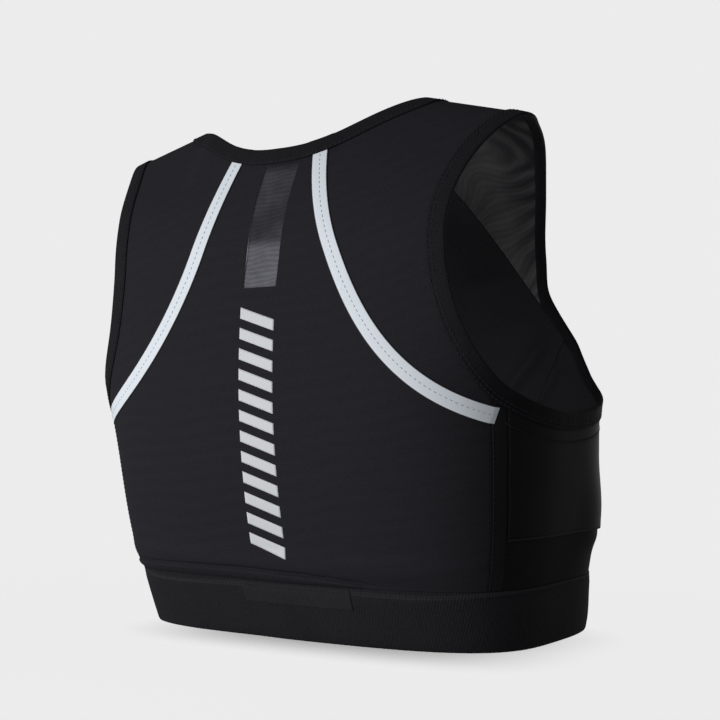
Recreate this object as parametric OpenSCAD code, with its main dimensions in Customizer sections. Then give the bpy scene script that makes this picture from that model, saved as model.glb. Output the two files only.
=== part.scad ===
// Sleeveless compression vest with two chest pads, in millimetres.
// +Z is up and the wearer faces -Y. The hem stands on z = 0, with x = 0 in the middle of the back.
// A place on the vest is [ring angle, ring height]: angle 0 is the wearer's left side,
// 90 is the middle of the back and -90 is the middle of the front.

/* [Rings of the body] */
// Height of the rib ring above the hem
rib_z = 60; // [50:1:75]
// Height of the chest ring
chest_z = 140; // [125:1:155]
// Height of the shoulder blade ring
blade_z = 230; // [215:1:245]
// Height of the shoulder ridge where the neckline crosses it
crest_z = 314.5; // [300:0.5:330]
// Half width at the chest, which the other rings follow
chest_half_w = 154; // [148:1:165]
// How much less the half width is at the hem
hem_taper = 21.5; // [15:0.5:28]
// How much less the half width is at the ribs
rib_taper = 12.5; // [8:0.5:18]
// How much more the half width of the ring is at the shoulder blades
blade_flare = 38; // [30:1:46]
// How much more the half width of the ring is at the shoulder ridge
crest_flare = 79; // [70:1:90]
// Depth of the back at the hem
hem_back = 70; // [62:1:78]
// Depth of the back at the ribs
rib_back = 93.5; // [85:0.5:102]
// Depth of the back at the chest
chest_back = 105; // [96:1:114]
// Depth of the back at the shoulder blades
blade_back = 100.5; // [92:0.5:110]
// Depth of the back at the shoulder ridge
crest_back = 92.5; // [85:0.5:100]
// Depth of the front at the hem
hem_front = 104; // [95:1:112]
// Depth of the front at the ribs
rib_front = 110; // [102:1:118]
// Depth of the front at the chest
chest_front = 88.5; // [80:0.5:98]
// Depth of the front at the shoulder blades
blade_front = 69; // [62:1:76]
// Depth of the front at the shoulder ridge
crest_front = 70.5; // [64:0.5:78]
// Power of the ring outline: 2 is an ellipse, more is squarer
ring_power = 3.46; // [2.8:0.02:4]

/* [Shoulders and neckline] */
// Height at which the body starts to lean in to the shoulder ridge
shoulder_z = 225; // [215:1:235]
// How far the shoulder ridge lies behind the middle of the rings
ridge_y = 46; // [38:1:54]
// Fall of the shoulder ridge for each millimetre outwards
ridge_fall = 0.26; // [0.18:0.01:0.34]
// Half width of the neckline on the shoulder ridge
neck_half_w = 82; // [76:1:88]
// Height of the back neckline in its middle
neck_back_z = 288; // [282:1:294]
// Reach of the level middle of the back neckline
neck_back_flat = 40; // [32:1:48]
// Pull of the back neckline up to the ridge, as x and z
neck_back_rise = [46, 303.5]; // [30:0.5:320]
// Height of the front neckline in its middle
neck_front_z = 286; // [280:1:290]
// Reach of the level middle of the front neckline
neck_front_flat = 40; // [34:1:46]
// Pull of the front neckline up to the ridge, as x and z
neck_front_rise = [68, 301]; // [56:0.5:312]

/* [Armholes] */
// Half width to the armhole on the shoulder ridge
armhole_half_w = 139.5; // [134:0.5:145]
// Upper pull of the back edge, as x and z
armhole_back_high = [104.5, 249.5]; // [90:0.5:270]
// Lower pull of the back edge, as x and z
armhole_back_low = [110, 190.5]; // [95:0.5:210]
// Lower end that the back edge aims at, as x and z
armhole_back_aim = [148.5, 136.5]; // [130:0.5:155]
// Upper pull of the front edge, as x and z
armhole_front_high = [87, 285]; // [75:0.5:300]
// Lower pull of the front edge, as x and z
armhole_front_low = [90.5, 204.5]; // [80:0.5:225]
// Lower end that the front edge aims at, as x and z
armhole_front_aim = [143.5, 141]; // [125:0.5:155]
// Height of the armhole's lowest stretch at the side
armhole_bottom_z = 133; // [128:1:138]

/* [Seams] */
// Ring angle of the side seam behind the wearer's side, at the armhole
seam_angle = 29.5; // [27:0.5:32]
// Ring angle of the side seam at its lower end
seam_low_angle = 25; // [22:0.5:28]
// Ring angle at which the armhole's front edge turns in under the arm
front_turn_angle = 28; // [25:0.5:31]
// Height at which the back raglan seam meets the side seam
raglan_foot_z = 131; // [122:1:138]
// Half distance between the back raglan seams on the neckline
raglan_back_x = 28; // [24:1:34]
// Upper pull of the back raglan seam, as x and z
raglan_back_high = [44, 220.5]; // [36:0.5:240]
// Lower pull of the back raglan seam, as x and z
raglan_back_low = [71.5, 154.5]; // [60:0.5:175]
// Half distance between the front raglan seams on the neckline
raglan_front_x = 34; // [30:1:40]
// Upper pull of the front raglan seam, as x and z
raglan_front_high = [56.5, 263]; // [45:0.5:280]
// Lower pull of the front raglan seam, as x and z
raglan_front_low = [100, 196]; // [85:0.5:215]
// Ring angle of the front seam of the side panels at the hem, from the wearer's side
front_seam_angle = 72; // [66:1:78]
// Width of a seam gap between two panels
seam_gap = 0.5; // [0.4:0.05:0.8]

/* [Layers] */
// Thickness of the mesh and lining fabric
fabric_t = 0.6; // [0.4:0.05:0.8]
// Thickness of the chest cover
cover_t = 0.6; // [0.4:0.05:0.8]
// Thickness of tape, print and label
trim_t = 0.3; // [0.25:0.05:0.4]
// Clearance between two layers
layer_gap = 0.5; // [0.4:0.05:0.6]

/* [Trims] */
// Width of the binding outside an edge
binding_w = 10; // [8:0.5:12]
// Width of the binding inside an edge
binding_in_w = 7; // [6:0.5:10]
// Thickness of the binding fabric
binding_t = 0.6; // [0.5:0.05:0.8]
// Width of the reflective tape on the back raglan seams
tape_w = 10; // [8:0.5:12]
// How far below the neck edge the reflective tape starts
tape_tuck = 4; // [3:0.5:6]
// Ring angle that the tape's lower end reaches past the side seam
tape_over = 1; // [0.5:0.25:2]
// Ring angle that the strip beside the side seam covers
strip_angle = 3.2; // [2.8:0.1:4]
// Width of the care label
label_w = 25; // [20:1:30]
// Length of the care label
label_l = 79; // [60:1:88]
// Thickness of the care label
label_t = 0.4; // [0.3:0.05:0.5]
// How far the top of the care label lies to the wearer's right of its lower end
label_lean = 6; // [0:0.5:9]
// Number of bars in the back print
print_bars = 12; // [8:1:13]
// Width of the back print
print_w = 24; // [18:1:28]
// Height of one bar of the back print
print_bar_h = 6.5; // [4:0.5:8]
// Distance from one bar to the next
print_pitch = 11.8; // [11:0.1:13]
// Height of the lowest bar's middle
print_low_z = 57; // [54:1:60]
// Rise of a bar over its width
print_rise = 8; // [0:0.5:10]

/* [Underband] */
// Height of the underband
band_h = 35; // [30:1:38]
// Thickness of the underband's casing
casing_t = 0.8; // [0.6:0.1:1.2]
// Clearance inside the underband's casing
casing_gap = 0.6; // [0.5:0.05:0.8]
// How far the panels reach down into the casing
band_lap = 6; // [4:0.5:9]
// Width of the patch over the band's join
patch_w = 76; // [60:1:86]
// Height of the patch
patch_h = 12; // [10:1:13]
// How far the patch's middle lies below the underband's top
patch_drop = 7; // [6.5:0.5:9]
// How far the patch's middle lies to the wearer's right
patch_x = 12.5; // [0:0.5:25]
// Stand-off of the soft roll of the back panel above the underband
roll_out = 2; // [1:0.1:3]
// Height of the roll's middle above the underband
roll_up = 11; // [9:0.5:14]

/* [Chest] */
// Height of the chest cover's hem
cover_hem_z = 63; // [58:0.5:70]
// Stand-off of the cover's hem across the front
cover_lift = 4; // [3:0.25:5]
// Ring angle of a chest pad's middle, from the wearer's side
pad_angle = 56; // [54:0.5:58]
// Height of a chest pad's middle
pad_z = 114; // [112:0.5:116]
// Width of a chest pad
pad_w = 106; // [96:1:110]
// Height of a chest pad
pad_h = 84; // [76:1:88]
// Thickness of a chest pad in its middle
pad_crown = 9; // [6:0.5:12]
// Thickness of a chest pad at its rim
pad_rim = 2; // [1.5:0.25:3]
// How far the cover spans out past the pad's rim
cover_span = 12; // [10:0.5:14]

/* [Hidden] */

// Colours of the cloth
mesh_black = "#2b2b31";
cover_black = "#1b1b20";
trim_black = "#141418";
reflective_white = "#dfe4ee";
label_white = "#e6e6e8";
foam_grey = "#8a8d94";

// Ring sizes from the hem to the shoulder ridge
ring_z = [0, rib_z, chest_z, blade_z, crest_z];
ring_half_w = [
    chest_half_w - hem_taper, chest_half_w - rib_taper, chest_half_w,
    chest_half_w + blade_flare, chest_half_w + crest_flare
];
ring_back = [hem_back, rib_back, chest_back, blade_back, crest_back];
ring_front = [hem_front, rib_front, chest_front, blade_front, crest_front];

// Layers, as offsets outwards from the inside of the panels
trim_low = fabric_t + layer_gap;
trim_top = trim_low + trim_t;
binding_low = trim_low + cover_t + layer_gap;
binding_top = binding_low + binding_t;
casing_low = fabric_t + casing_gap;
casing_top = casing_low + casing_t;
casing_inside = -casing_gap - casing_t;
patch_low = casing_top + layer_gap;
label_low = -layer_gap - binding_t - label_t;

// Heights and angles that several pieces share: the strip reaches a little past the seam it covers
panel_low = band_h - band_lap;
strip_low = band_h + layer_gap;
strip_lap = 0.5;
gap_angle = 0.15;
cover_angle = seam_angle - strip_angle;
y_shift = (rib_front - chest_back + cover_lift + cover_t) / 2;

function clamp01(v) = min(1, max(0, v));
function smooth(v) = let (c = clamp01(v)) c * c * (3 - 2 * c);
function mix(a, b, u) = a + (b - a) * u;
function reverse(list) = [for (i = [len(list) - 1:-1:0]) list[i]];
function bezier(c, u) =
    let (v = 1 - u) v * v * v * c[0] + 3 * v * v * u * c[1] + 3 * v * u * u * c[2] + u * u * u * c[3];

// A ring size at a height, on a smooth curve through the named rings
function ring_index(h, i = 0) = i >= len(ring_z) - 2 || h < ring_z[i + 1] ? i : ring_index(h, i + 1);
function ring_rate(sizes, i) =
    let (lo = max(i - 1, 0), hi = min(i + 1, len(ring_z) - 1))
    (sizes[hi] - sizes[lo]) / (ring_z[hi] - ring_z[lo]);
function ring_size(sizes, h) =
    let (
        i = ring_index(h),
        span = ring_z[i + 1] - ring_z[i],
        u = clamp01((h - ring_z[i]) / span),
        v = 1 - u
    )
    sizes[i] * (1 + 2 * u) * v * v + ring_rate(sizes, i) * span * u * v * v
    + sizes[i + 1] * (1 + 2 * v) * u * u - ring_rate(sizes, i + 1) * span * v * u * u;

// The body surface: rings that lean in to the shoulder ridge
function ridge_z(x) = crest_z - ridge_fall * (abs(x) - neck_half_w);
function lean_share(h) = clamp01((h - shoulder_z) / (crest_z - shoulder_z));
function ring_centre(h) = ridge_y * smooth(lean_share(h));
function ring_depth(side, h) =
    side > 0 ? ring_size(ring_back, h) - ring_centre(h) : ring_size(ring_front, h) + ring_centre(h);
function body(p) =
    let (
        h = p[1],
        lean = 90 * lean_share(h),
        across = pow(abs(cos(p[0])) / ring_size(ring_half_w, h), ring_power),
        deep = pow(abs(sin(p[0])) / ring_depth(sin(p[0]), h), ring_power),
        r = pow(across + deep, -1 / ring_power),
        x = r * cos(p[0]),
        z = h > shoulder_z ? mix(shoulder_z, ridge_z(x), sin(lean)) : h
    )
    [x, y_shift + ring_centre(h) + r * sin(p[0]) * cos(lean), z];

// Places from x and height: side is 1 on the back and -1 on the front
function place_at(x, h, side) =
    let (
        share = min(abs(x) / ring_size(ring_half_w, h), 1),
        y = ring_depth(side, h) * pow(1 - pow(share, ring_power), 1 / ring_power)
    )
    [side * atan2(y, x), h];
function height_at(x, z) =
    let (share = clamp01((z - shoulder_z) / (ridge_z(x) - shoulder_z)))
    z > shoulder_z ? mix(shoulder_z, crest_z, asin(share) / 90) : z;
function place(xz, side) = place_at(xz[0], height_at(xz[0], xz[1]), side);

// Places over the shoulder: past the ridge, s runs on down the front
function over_shoulder(xz, side) =
    let (h = height_at(xz[0], xz[1])) [xz[0], side > 0 ? h : 2 * crest_z - h];
function place_over(xs) =
    xs[1] <= crest_z ? place_at(xs[0], xs[1], 1) : place_at(xs[0], 2 * crest_z - xs[1], -1);
function mirrored(p) = [p[0] > 0 ? 180 - p[0] : -180 - p[0], p[1]];

// Directions on the surface, in millimetres for each degree and for each millimetre of ring height
probe = 0.2;
function around(p) = (body([p[0] + probe, p[1]]) - body([p[0] - probe, p[1]])) / (2 * probe);
function upwards(p) =
    let (high = min(p[1] + probe, crest_z), low = max(p[1] - probe, 0))
    (body([p[0], high]) - body([p[0], low])) / (high - low);
function normal(p) =
    let (n = cross(around(p), upwards(p)), level = [n[0], n[1], n[2] * clamp01(p[1] / rib_z)])
    level / norm(level);

// The soft roll of cloth above the underband, on the back only
function roll(p) =
    let (u = (p[1] - band_h - roll_up) / roll_up)
    roll_out * pow(max(0, 1 - u * u), 2) * smooth(2 * sin(p[0]) - 0.5);
function skin(p, d) = body(p) + normal(p) * (d + roll(p));

// The place reached from p by a step along the surface, which may cross the shoulder ridge
function stepped(p, v) =
    let (
        a = around(p),
        b = upwards(p),
        det = (a * a) * (b * b) - (a * b) * (a * b)
    )
    [
        p[0] + ((b * b) * (a * v) - (a * b) * (b * v)) / det,
        p[1] + ((a * a) * (b * v) - (a * b) * (a * v)) / det
    ];
function folded(p) =
    p[1] <= crest_z ? p : place_at(body([p[0], crest_z])[0], 2 * crest_z - p[1], p[0] > 0 ? -1 : 1);
function walk(p, v) =
    let (q = folded(stepped(p, v))) folded(stepped(q, v - body(q) + body(p)));

// Where a curve reaches a value: f grows or falls steadily between the two ends
function solve(f, lo, hi, n = 24) =
    let (mid = (lo + hi) / 2)
    n == 0 ? mid : (f(mid) > 0) == (f(lo) > 0) ? solve(f, mid, hi, n - 1) : solve(f, lo, mid, n - 1);

// Edge curves of the wearer's left half, from above to below, as x and z
neck_point = [neck_half_w, crest_z];
neck_back = [[0, neck_back_z], [neck_back_flat, neck_back_z], neck_back_rise, neck_point];
neck_front = [[0, neck_front_z], [neck_front_flat, neck_front_z], neck_front_rise, neck_point];
armhole_point = [armhole_half_w, ridge_z(armhole_half_w)];
armhole_back = [armhole_point, armhole_back_high, armhole_back_low, armhole_back_aim];
armhole_front = [armhole_point, armhole_front_high, armhole_front_low, armhole_front_aim];
back_turn = solve(function (u) place(bezier(armhole_back, u), 1)[0] - seam_angle, 0.5, 1);
front_turn = solve(function (u) place(bezier(armhole_front, u), -1)[0] + front_turn_angle, 0.5, 1);
side_ends = [place(bezier(armhole_back, back_turn), 1), place(bezier(armhole_front, front_turn), -1)];

// The side seam leans: its ring angle at a height
function seam_at(h) = mix(seam_low_angle, seam_angle, (h - panel_low) / (side_ends[0][1] - panel_low));
raglan_back_start = solve(function (u) bezier(neck_back, u)[0] - raglan_back_x, 0, 1);
raglan_front_start = solve(function (u) bezier(neck_front, u)[0] - raglan_front_x, 0, 1);
raglan_foot = [body([seam_at(raglan_foot_z), raglan_foot_z])[0], raglan_foot_z];
raglan_back = [bezier(neck_back, raglan_back_start), raglan_back_high, raglan_back_low, raglan_foot];
raglan_front = [
    bezier(neck_front, raglan_front_start), raglan_front_high, raglan_front_low,
    bezier(armhole_front, front_turn)
];

// A raglan curve moved sideways in its own plane: positive towards the armhole
curve_step = 0.01;
function beside(curve, u, d) =
    let (run = bezier(curve, min(1, u + curve_step)) - bezier(curve, max(0, u - curve_step)))
    bezier(curve, u) + d * [-run[1], run[0]] / norm(run);

// The armhole's stretch under the arm, which carries both edges on and levels out at its bottom
side_runs = [
    side_ends[0] - place(bezier(armhole_back, back_turn - curve_step), 1),
    side_ends[1] - place(bezier(armhole_front, front_turn - curve_step), -1)
];
side_drop = 4 * (side_ends[0][1] + side_ends[1][1]) - 8 * armhole_bottom_z;
side_pull = -side_drop / (3 * (side_runs[0][1] + side_runs[1][1]));
armhole_side = [
    side_ends[0], side_ends[0] + side_pull * side_runs[0],
    side_ends[1] + side_pull * side_runs[1], side_ends[1]
];

// Closed edges as lists of places, in the direction that keeps the cloth on the right hand
throat_steps = 5;
collar_steps = 8;
raglan_steps = 10;
side_steps = 18;
edge_steps = raglan_steps + collar_steps;
edge_ease = 0.6;
foot_power = 1.45;
function edge_share(k) = mix(k / edge_steps, smooth(k / edge_steps), edge_ease);
function foot_share(k) = 1 - pow(1 - k / raglan_steps, foot_power);
function neck_stops(start) = concat(
    [for (k = [0:throat_steps - 1]) start * k / throat_steps],
    [for (k = [0:collar_steps]) mix(1, start, pow(1 - k / collar_steps, 2))]
);
armhole_edge = concat(
    [for (k = [0:edge_steps]) place(bezier(armhole_back, back_turn * edge_share(k)), 1)],
    [for (k = [1:side_steps - 1]) bezier(armhole_side, k / side_steps)],
    [for (k = [edge_steps:-1:1]) place(bezier(armhole_front, front_turn * edge_share(k)), -1)]
);
neck_half = concat(
    [for (u = neck_stops(raglan_back_start)) place(bezier(neck_back, u), 1)],
    [for (u = reverse(neck_stops(raglan_front_start))) if (u < 1) place(bezier(neck_front, u), -1)]
);
neck_edge = concat(neck_half, [for (k = [len(neck_half) - 2:-1:1]) mirrored(neck_half[k])]);

// The top edge of the front layers, from the wearer's left side to the middle
side_top = [for (k = [0:side_steps - 1]) bezier(armhole_side, k / side_steps)];
front_top = concat(
    [for (k = [raglan_steps:-1:1]) place(beside(raglan_front, foot_share(k), -seam_gap / 2), -1)],
    [for (k = [throat_steps:-1:0]) place(bezier(neck_front, raglan_front_start * k / throat_steps), -1)]
);

// Triangles of a grid of points, with rows upwards and columns against the clock seen from above
// The cells of a whole width are cut along mirrored diagonals in its two halves
function cell(a, b, c, d) = [[a, b, c], [a, c, d]];
function grid_faces(rows, cols, first, outwards) = [
    for (r = [0:rows - 2], c = [0:cols - 2])
        let (a = first + r * cols + c, b = a + cols, left = 2 * c >= cols - 1)
        each outwards
            ? (left ? cell(a, b, b + 1, a + 1) : cell(b, b + 1, a + 1, a))
            : (left ? cell(a, a + 1, b + 1, b) : cell(a + 1, b + 1, b, a))
];
function rim_faces(rim, depth) = [
    for (k = [0:len(rim) - 1])
        let (a = rim[k], b = rim[(k + 1) % len(rim)])
        each cell(a, b, b + depth, a + depth)
];

// A closed sheet over a grid of places, between two offsets
module sheet(grid, low, high) {
    rows = len(grid);
    cols = len(grid[0]);
    count = rows * cols;
    rim = concat(
        [for (c = [0:cols - 1]) c],
        [for (r = [1:rows - 1]) r * cols + cols - 1],
        [for (c = [cols - 2:-1:0]) (rows - 1) * cols + c],
        [for (r = [rows - 2:-1:1]) r * cols]
    );
    points = concat(
        [for (row = grid, p = row) skin(p, high(p))],
        [for (row = grid, p = row) skin(p, low(p))]
    );
    faces = concat(
        grid_faces(rows, cols, 0, true), grid_faces(rows, cols, count, false), rim_faces(rim, count)
    );
    polyhedron(points, faces);
}

// A closed sweep: each row is one section, and the rows go round
module sweep(rows) {
    m = len(rows[0]);
    n = len(rows);
    faces = [
        for (i = [0:n - 1], k = [0:m - 1])
            let (j = (i + 1) % n, l = (k + 1) % m)
            each cell(i * m + k, i * m + l, j * m + l, j * m + k)
    ];
    polyhedron([for (row = rows) each row], faces);
}

// Offsets of plain sheets
function level(d) = function (p) d;

// A ruled grid between a lower and an upper edge, both listed against the clock
function ruled(low, high, rows, power = 1) = [
    for (r = [0:rows])
        let (share = 1 - pow(1 - r / rows, power))
        [for (c = [0:len(low) - 1]) mix(low[c], high[c], share)]
];
function spread(from, to, h, n) = [for (k = [0:n - 1]) [mix(from, to, k / (n - 1)), h]];

// Binding folded over an edge: two legs and a round fold
binding_section = concat(
    [for (u = [binding_w, binding_w / 2, 0]) [u, binding_low]],
    [[-layer_gap, (binding_low - layer_gap) / 2]],
    [for (u = [0, binding_in_w / 2, binding_in_w]) [u, -layer_gap]],
    [for (u = [binding_in_w, 0]) [u, -layer_gap - binding_t]],
    [[-layer_gap - binding_t, 0], [-layer_gap - binding_t, binding_low - layer_gap]],
    [for (u = [0, binding_w]) [u, binding_top]]
);
function lip(p, inwards, s) =
    s[0] > 0 ? skin(walk(p, inwards * s[0]), s[1]) : skin(p, s[1]) + inwards * s[0];
module binding(edge) {
    n = len(edge);
    sweep([
        for (i = [0:n - 1])
            let (
                p = edge[i],
                run = body(edge[(i + 1) % n]) - body(edge[(i + n - 1) % n]),
                inwards = cross(normal(p), run) / norm(run)
            )
            [for (s = binding_section) lip(p, inwards, s)]
    ]);
}

// A band round the whole hem, from a section of offsets and heights
ring_steps = 72;
module hem_ring(section) {
    sweep([
        for (i = [0:ring_steps - 1])
            [for (s = section) skin([360 * i / ring_steps, s[1]], s[0])]
    ]);
}

// Rows of the back panel, as x and z of its left edge: over the roll, up the side seam, up the raglan seam
roll_rows = [0.1, 0.5, 1, 1.5, 2];
seam_rows = 6;
raglan_rows = 12;
function back_rows() = concat(
    [for (h = concat([panel_low], [for (share = roll_rows) band_h + share * roll_up]))
        [body([seam_at(h) + gap_angle, h])[0], h]],
    [for (k = [1:seam_rows - 1])
        let (h = mix(band_h + 2 * roll_up, raglan_foot_z - seam_gap, k / seam_rows))
        [body([seam_at(h) + gap_angle, h])[0], h]],
    [for (k = [raglan_rows:-1:0]) beside(raglan_back, k / raglan_rows, -seam_gap / 2)]
);

// Centre panel of the back
back_columns = 22;
dip_power = 4;
module back_panel() {
    edge = back_rows();
    last = len(edge) - 1;
    dip = neck_back_z - edge[last][1];
    color(mesh_black) sheet([
        for (r = [0:last]) [
            for (c = [0:back_columns])
                let (
                    share = 1 - 2 * c / back_columns,
                    fall = dip * (1 - share * share) * pow(r / last, dip_power)
                )
                place([edge[r][0] * share, edge[r][1] + fall], 1)
        ]
    ], level(0), level(fabric_t));
}

// Mesh panel that wraps over one shoulder, from the back raglan seam to the front one
// Its thin front point is cut off under the binding, a few rows short of the seam's foot
shoulder_columns = 6;
point_rows = 3;
module shoulder_panel() {
    inner = concat(
        [for (k = [raglan_steps:-1:1])
            over_shoulder(beside(raglan_back, k / raglan_steps, seam_gap / 2), 1)],
        [for (u = neck_stops(raglan_back_start)) if (u >= raglan_back_start)
            over_shoulder(bezier(neck_back, u), 1)],
        [for (u = reverse(neck_stops(raglan_front_start))) if (u < 1 && u >= raglan_front_start)
            over_shoulder(bezier(neck_front, u), -1)],
        [for (k = [1:raglan_steps - point_rows])
            over_shoulder(beside(raglan_front, foot_share(k), seam_gap / 2), -1)]
    );
    outer = concat(
        [for (k = [edge_steps:-1:0]) over_shoulder(bezier(armhole_back, back_turn * edge_share(k)), 1)],
        [for (k = [1:edge_steps - point_rows])
            over_shoulder(bezier(armhole_front, front_turn * edge_share(k)), -1)]
    );
    sheet([
        for (r = [0:len(inner) - 1])
            [for (c = [0:shoulder_columns]) place_over(mix(outer[r], inner[r], c / shoulder_columns))]
    ], level(0), level(fabric_t));
}
module shoulder_panel_left() { color(mesh_black) shoulder_panel(); }
module shoulder_panel_right() { color(mesh_black) mirror([1, 0, 0]) shoulder_panel(); }

// Panel under one arm, from the side seam to the slanting front seam, which starts on the raglan seam
side_rows = 11;
seam_stop = 3;
module side_panel() {
    top = concat(
        [[seam_angle - gap_angle, side_top[0][1]]],
        [for (k = [1:side_steps - 1]) side_top[k]],
        [for (k = [0:seam_stop - 1]) front_top[k]],
        [front_top[seam_stop] + [gap_angle, 0]]
    );
    low = spread(seam_low_angle - gap_angle, -front_seam_angle + gap_angle, panel_low, len(top));
    sheet(ruled(reverse(low), reverse(top), side_rows), level(0), level(fabric_t));
}
module side_panel_left() { color(cover_black) side_panel(); }
module side_panel_right() { color(cover_black) mirror([1, 0, 0]) side_panel(); }

// Inner layer of the front between the two slanting seams, with closer rows near its top
lining_rows = 13;
closer = 1.5;
module front_lining() {
    corner = front_top[seam_stop] - [gap_angle, 0];
    top_half = concat([corner], [for (k = [seam_stop + 1:len(front_top) - 1]) front_top[k]]);
    low_half = spread(-front_seam_angle - gap_angle, -90, panel_low, len(top_half));
    rows = ruled(both_sides(low_half), both_sides(top_half), lining_rows, closer);
    color(cover_black) sheet(rows, level(0), level(fabric_t));
}

// A left half that ends in the middle, made whole and listed against the clock
function both_sides(half) =
    concat([for (p = half) [-180 - p[0], p[1]]], [for (k = [len(half) - 2:-1:0]) half[k]]);

// Share of the way out from a pad's middle to its outline, which margin makes larger
pad_place = [-pad_angle, pad_z];
pad_degree = norm(around(pad_place));
function pad_reach(p, margin) =
    let (t = sin(p[0]) < 0 && cos(p[0]) < 0 ? -180 - p[0] : p[0])
    norm([(t + pad_angle) * pad_degree / (pad_w / 2 + margin), (p[1] - pad_z) / (pad_h / 2 + margin)]);
function dome(reach) = max(0, 1 - reach * reach);
function cover_low(p) =
    trim_low + cover_lift * smooth(-3 * sin(p[0]) - 0.3) * smooth((pad_z - p[1]) / (pad_h / 2))
    + (pad_crown + 2 * layer_gap) * dome(pad_reach(p, cover_span));

// Outer layer of the front, open along its hem, which spans the pads
cover_rows = 11;
module chest_cover() {
    start = [cover_angle, side_height(cover_angle)];
    arm = [for (k = [1:2:side_steps - 1]) if (side_top[k][0] < cover_angle - 2) side_top[k]];
    top_half = concat([start], arm, front_top);
    low_half = spread(seam_at(cover_hem_z) - strip_angle, -90, cover_hem_z, len(top_half));
    color(cover_black) sheet(
        ruled(both_sides(low_half), both_sides(top_half), cover_rows, closer),
        function (p) cover_low(p), function (p) cover_low(p) + cover_t
    );
}
function side_height(angle) =
    bezier(armhole_side, solve(function (u) bezier(armhole_side, u)[0] - angle, 0, 1))[1];

// Foam pad of one breast, flat on the lining and crowned outwards
pad_cells = 10;
module chest_pad() {
    sheet([
        for (r = [0:pad_cells]) [
            for (c = [0:pad_cells])
                let (u = 2 * c / pad_cells - 1, v = 2 * r / pad_cells - 1)
                [
                    -pad_angle + u * sqrt(1 - v * v / 2) * pad_w / 2 / pad_degree,
                    pad_z + v * sqrt(1 - u * u / 2) * pad_h / 2
                ]
        ]
    ], level(trim_low), function (p) trim_low + mix(pad_rim, pad_crown, dome(pad_reach(p, 0))));
}
module chest_pad_left() { color(foam_grey) chest_pad(); }
module chest_pad_right() { color(foam_grey) mirror([1, 0, 0]) chest_pad(); }

// Underband: a folded casing round a flat elastic
module underband_casing() {
    color(trim_black) hem_ring([
        [casing_top, 0], [casing_top, band_h / 2], [casing_top, band_h],
        [casing_low, band_h], [casing_low, band_h / 2], [casing_low, casing_t],
        [-casing_gap, casing_t], [-casing_gap, band_h / 2], [-casing_gap, band_h],
        [casing_inside, band_h], [casing_inside, band_h / 2], [casing_inside, 0]
    ]);
}
module underband_elastic() {
    low = casing_t + casing_gap;
    high = panel_low - seam_gap;
    color(label_white) hem_ring([
        [fabric_t, low], [fabric_t, high / 2], [fabric_t, high], [0, high], [0, high / 2], [0, low]
    ]);
}

// Bindings of the neckline and of the armholes
module neck_binding() { color(trim_black) binding(neck_edge); }
module armhole_binding_left() { color(trim_black) binding(armhole_edge); }
module armhole_binding_right() { color(trim_black) mirror([1, 0, 0]) binding(armhole_edge); }

// Reflective tape over one back raglan seam, from under the neck binding past the side seam
tape_steps = 22;
module reflective_tape() {
    start = tape_tuck / (3 * norm(raglan_back[1] - raglan_back[0]));
    end_angle = seam_at(raglan_foot_z) - tape_over;
    sheet([
        for (k = [tape_steps:-1:0]) [
            for (side = [1, 0, -1])
                let (p = place(beside(raglan_back, mix(start, 1, k / tape_steps), side * tape_w / 2), 1))
                k == tape_steps ? [end_angle, p[1]] : p
        ]
    ], level(trim_low), level(trim_top));
}
module reflective_tape_left() { color(reflective_white) reflective_tape(); }
module reflective_tape_right() { color(reflective_white) mirror([1, 0, 0]) reflective_tape(); }

// Strip that covers one side seam, from the underband up to the tape
strip_top = raglan_foot_z - tape_w / 2 - seam_gap;
strip_rows = 12;
function strip_row(h) =
    spread(seam_at(h) - strip_angle + gap_angle, seam_at(h) + strip_lap, h, 3);
module seam_strip() {
    low = strip_row(strip_low);
    top = strip_row(strip_top);
    sheet(ruled(low, top, strip_rows), level(trim_low), level(trim_top));
}
module seam_strip_left() { color(trim_black) seam_strip(); }
module seam_strip_right() { color(trim_black) mirror([1, 0, 0]) seam_strip(); }

// Care label, which hangs down inside from the neck binding
label_steps = 9;
function hanging(p, step, n) =
    n == 0 ? [p] : concat([p], hanging(walk(p, -step * upwards(p) / norm(upwards(p))), step, n - 1));
module care_label() {
    neck = place([0, neck_back_z], 1);
    down = -upwards(neck) / norm(upwards(neck));
    start = walk(neck, down * (binding_in_w + layer_gap));
    spine = reverse(hanging(start, label_l / label_steps, label_steps));
    color(label_white) sheet([
        for (r = [0:label_steps])
            let (middle = -label_lean * r / label_steps)
            [for (x = [label_w / 2, 0, -label_w / 2]) place_at(middle + x, spine[r][1], 1)]
    ], level(label_low), level(label_low + label_t));
}

// Patch over the join of the underband, to the wearer's right of the middle
patch_steps = 6;
module band_patch() {
    middle = band_h - patch_drop;
    color(cover_black) sheet([
        for (z = [middle - patch_h / 2, middle, middle + patch_h / 2])
            [for (k = [0:patch_steps]) place([-patch_x + patch_w * (0.5 - k / patch_steps), z], 1)]
    ], level(patch_low), level(patch_low + trim_t));
}

// Print of slanting bars down the middle of the back
module back_print() {
    color(reflective_white) for (bar = [0:print_bars - 1]) {
        middle = print_low_z + bar * print_pitch;
        sheet([
            for (z = [-print_bar_h / 2, print_bar_h / 2]) [
                for (share = [0.5, 0.25, 0, -0.25, -0.5])
                    place([share * print_w, middle + z + share * print_rise], 1)
            ]
        ], level(trim_low), level(trim_top));
    }
}

back_panel();
shoulder_panel_left();
shoulder_panel_right();
side_panel_left();
side_panel_right();
front_lining();
chest_cover();
chest_pad_left();
chest_pad_right();
underband_casing();
underband_elastic();
neck_binding();
armhole_binding_left();
armhole_binding_right();
reflective_tape_left();
reflective_tape_right();
seam_strip_left();
seam_strip_right();
care_label();
band_patch();
back_print();
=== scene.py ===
import math

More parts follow.
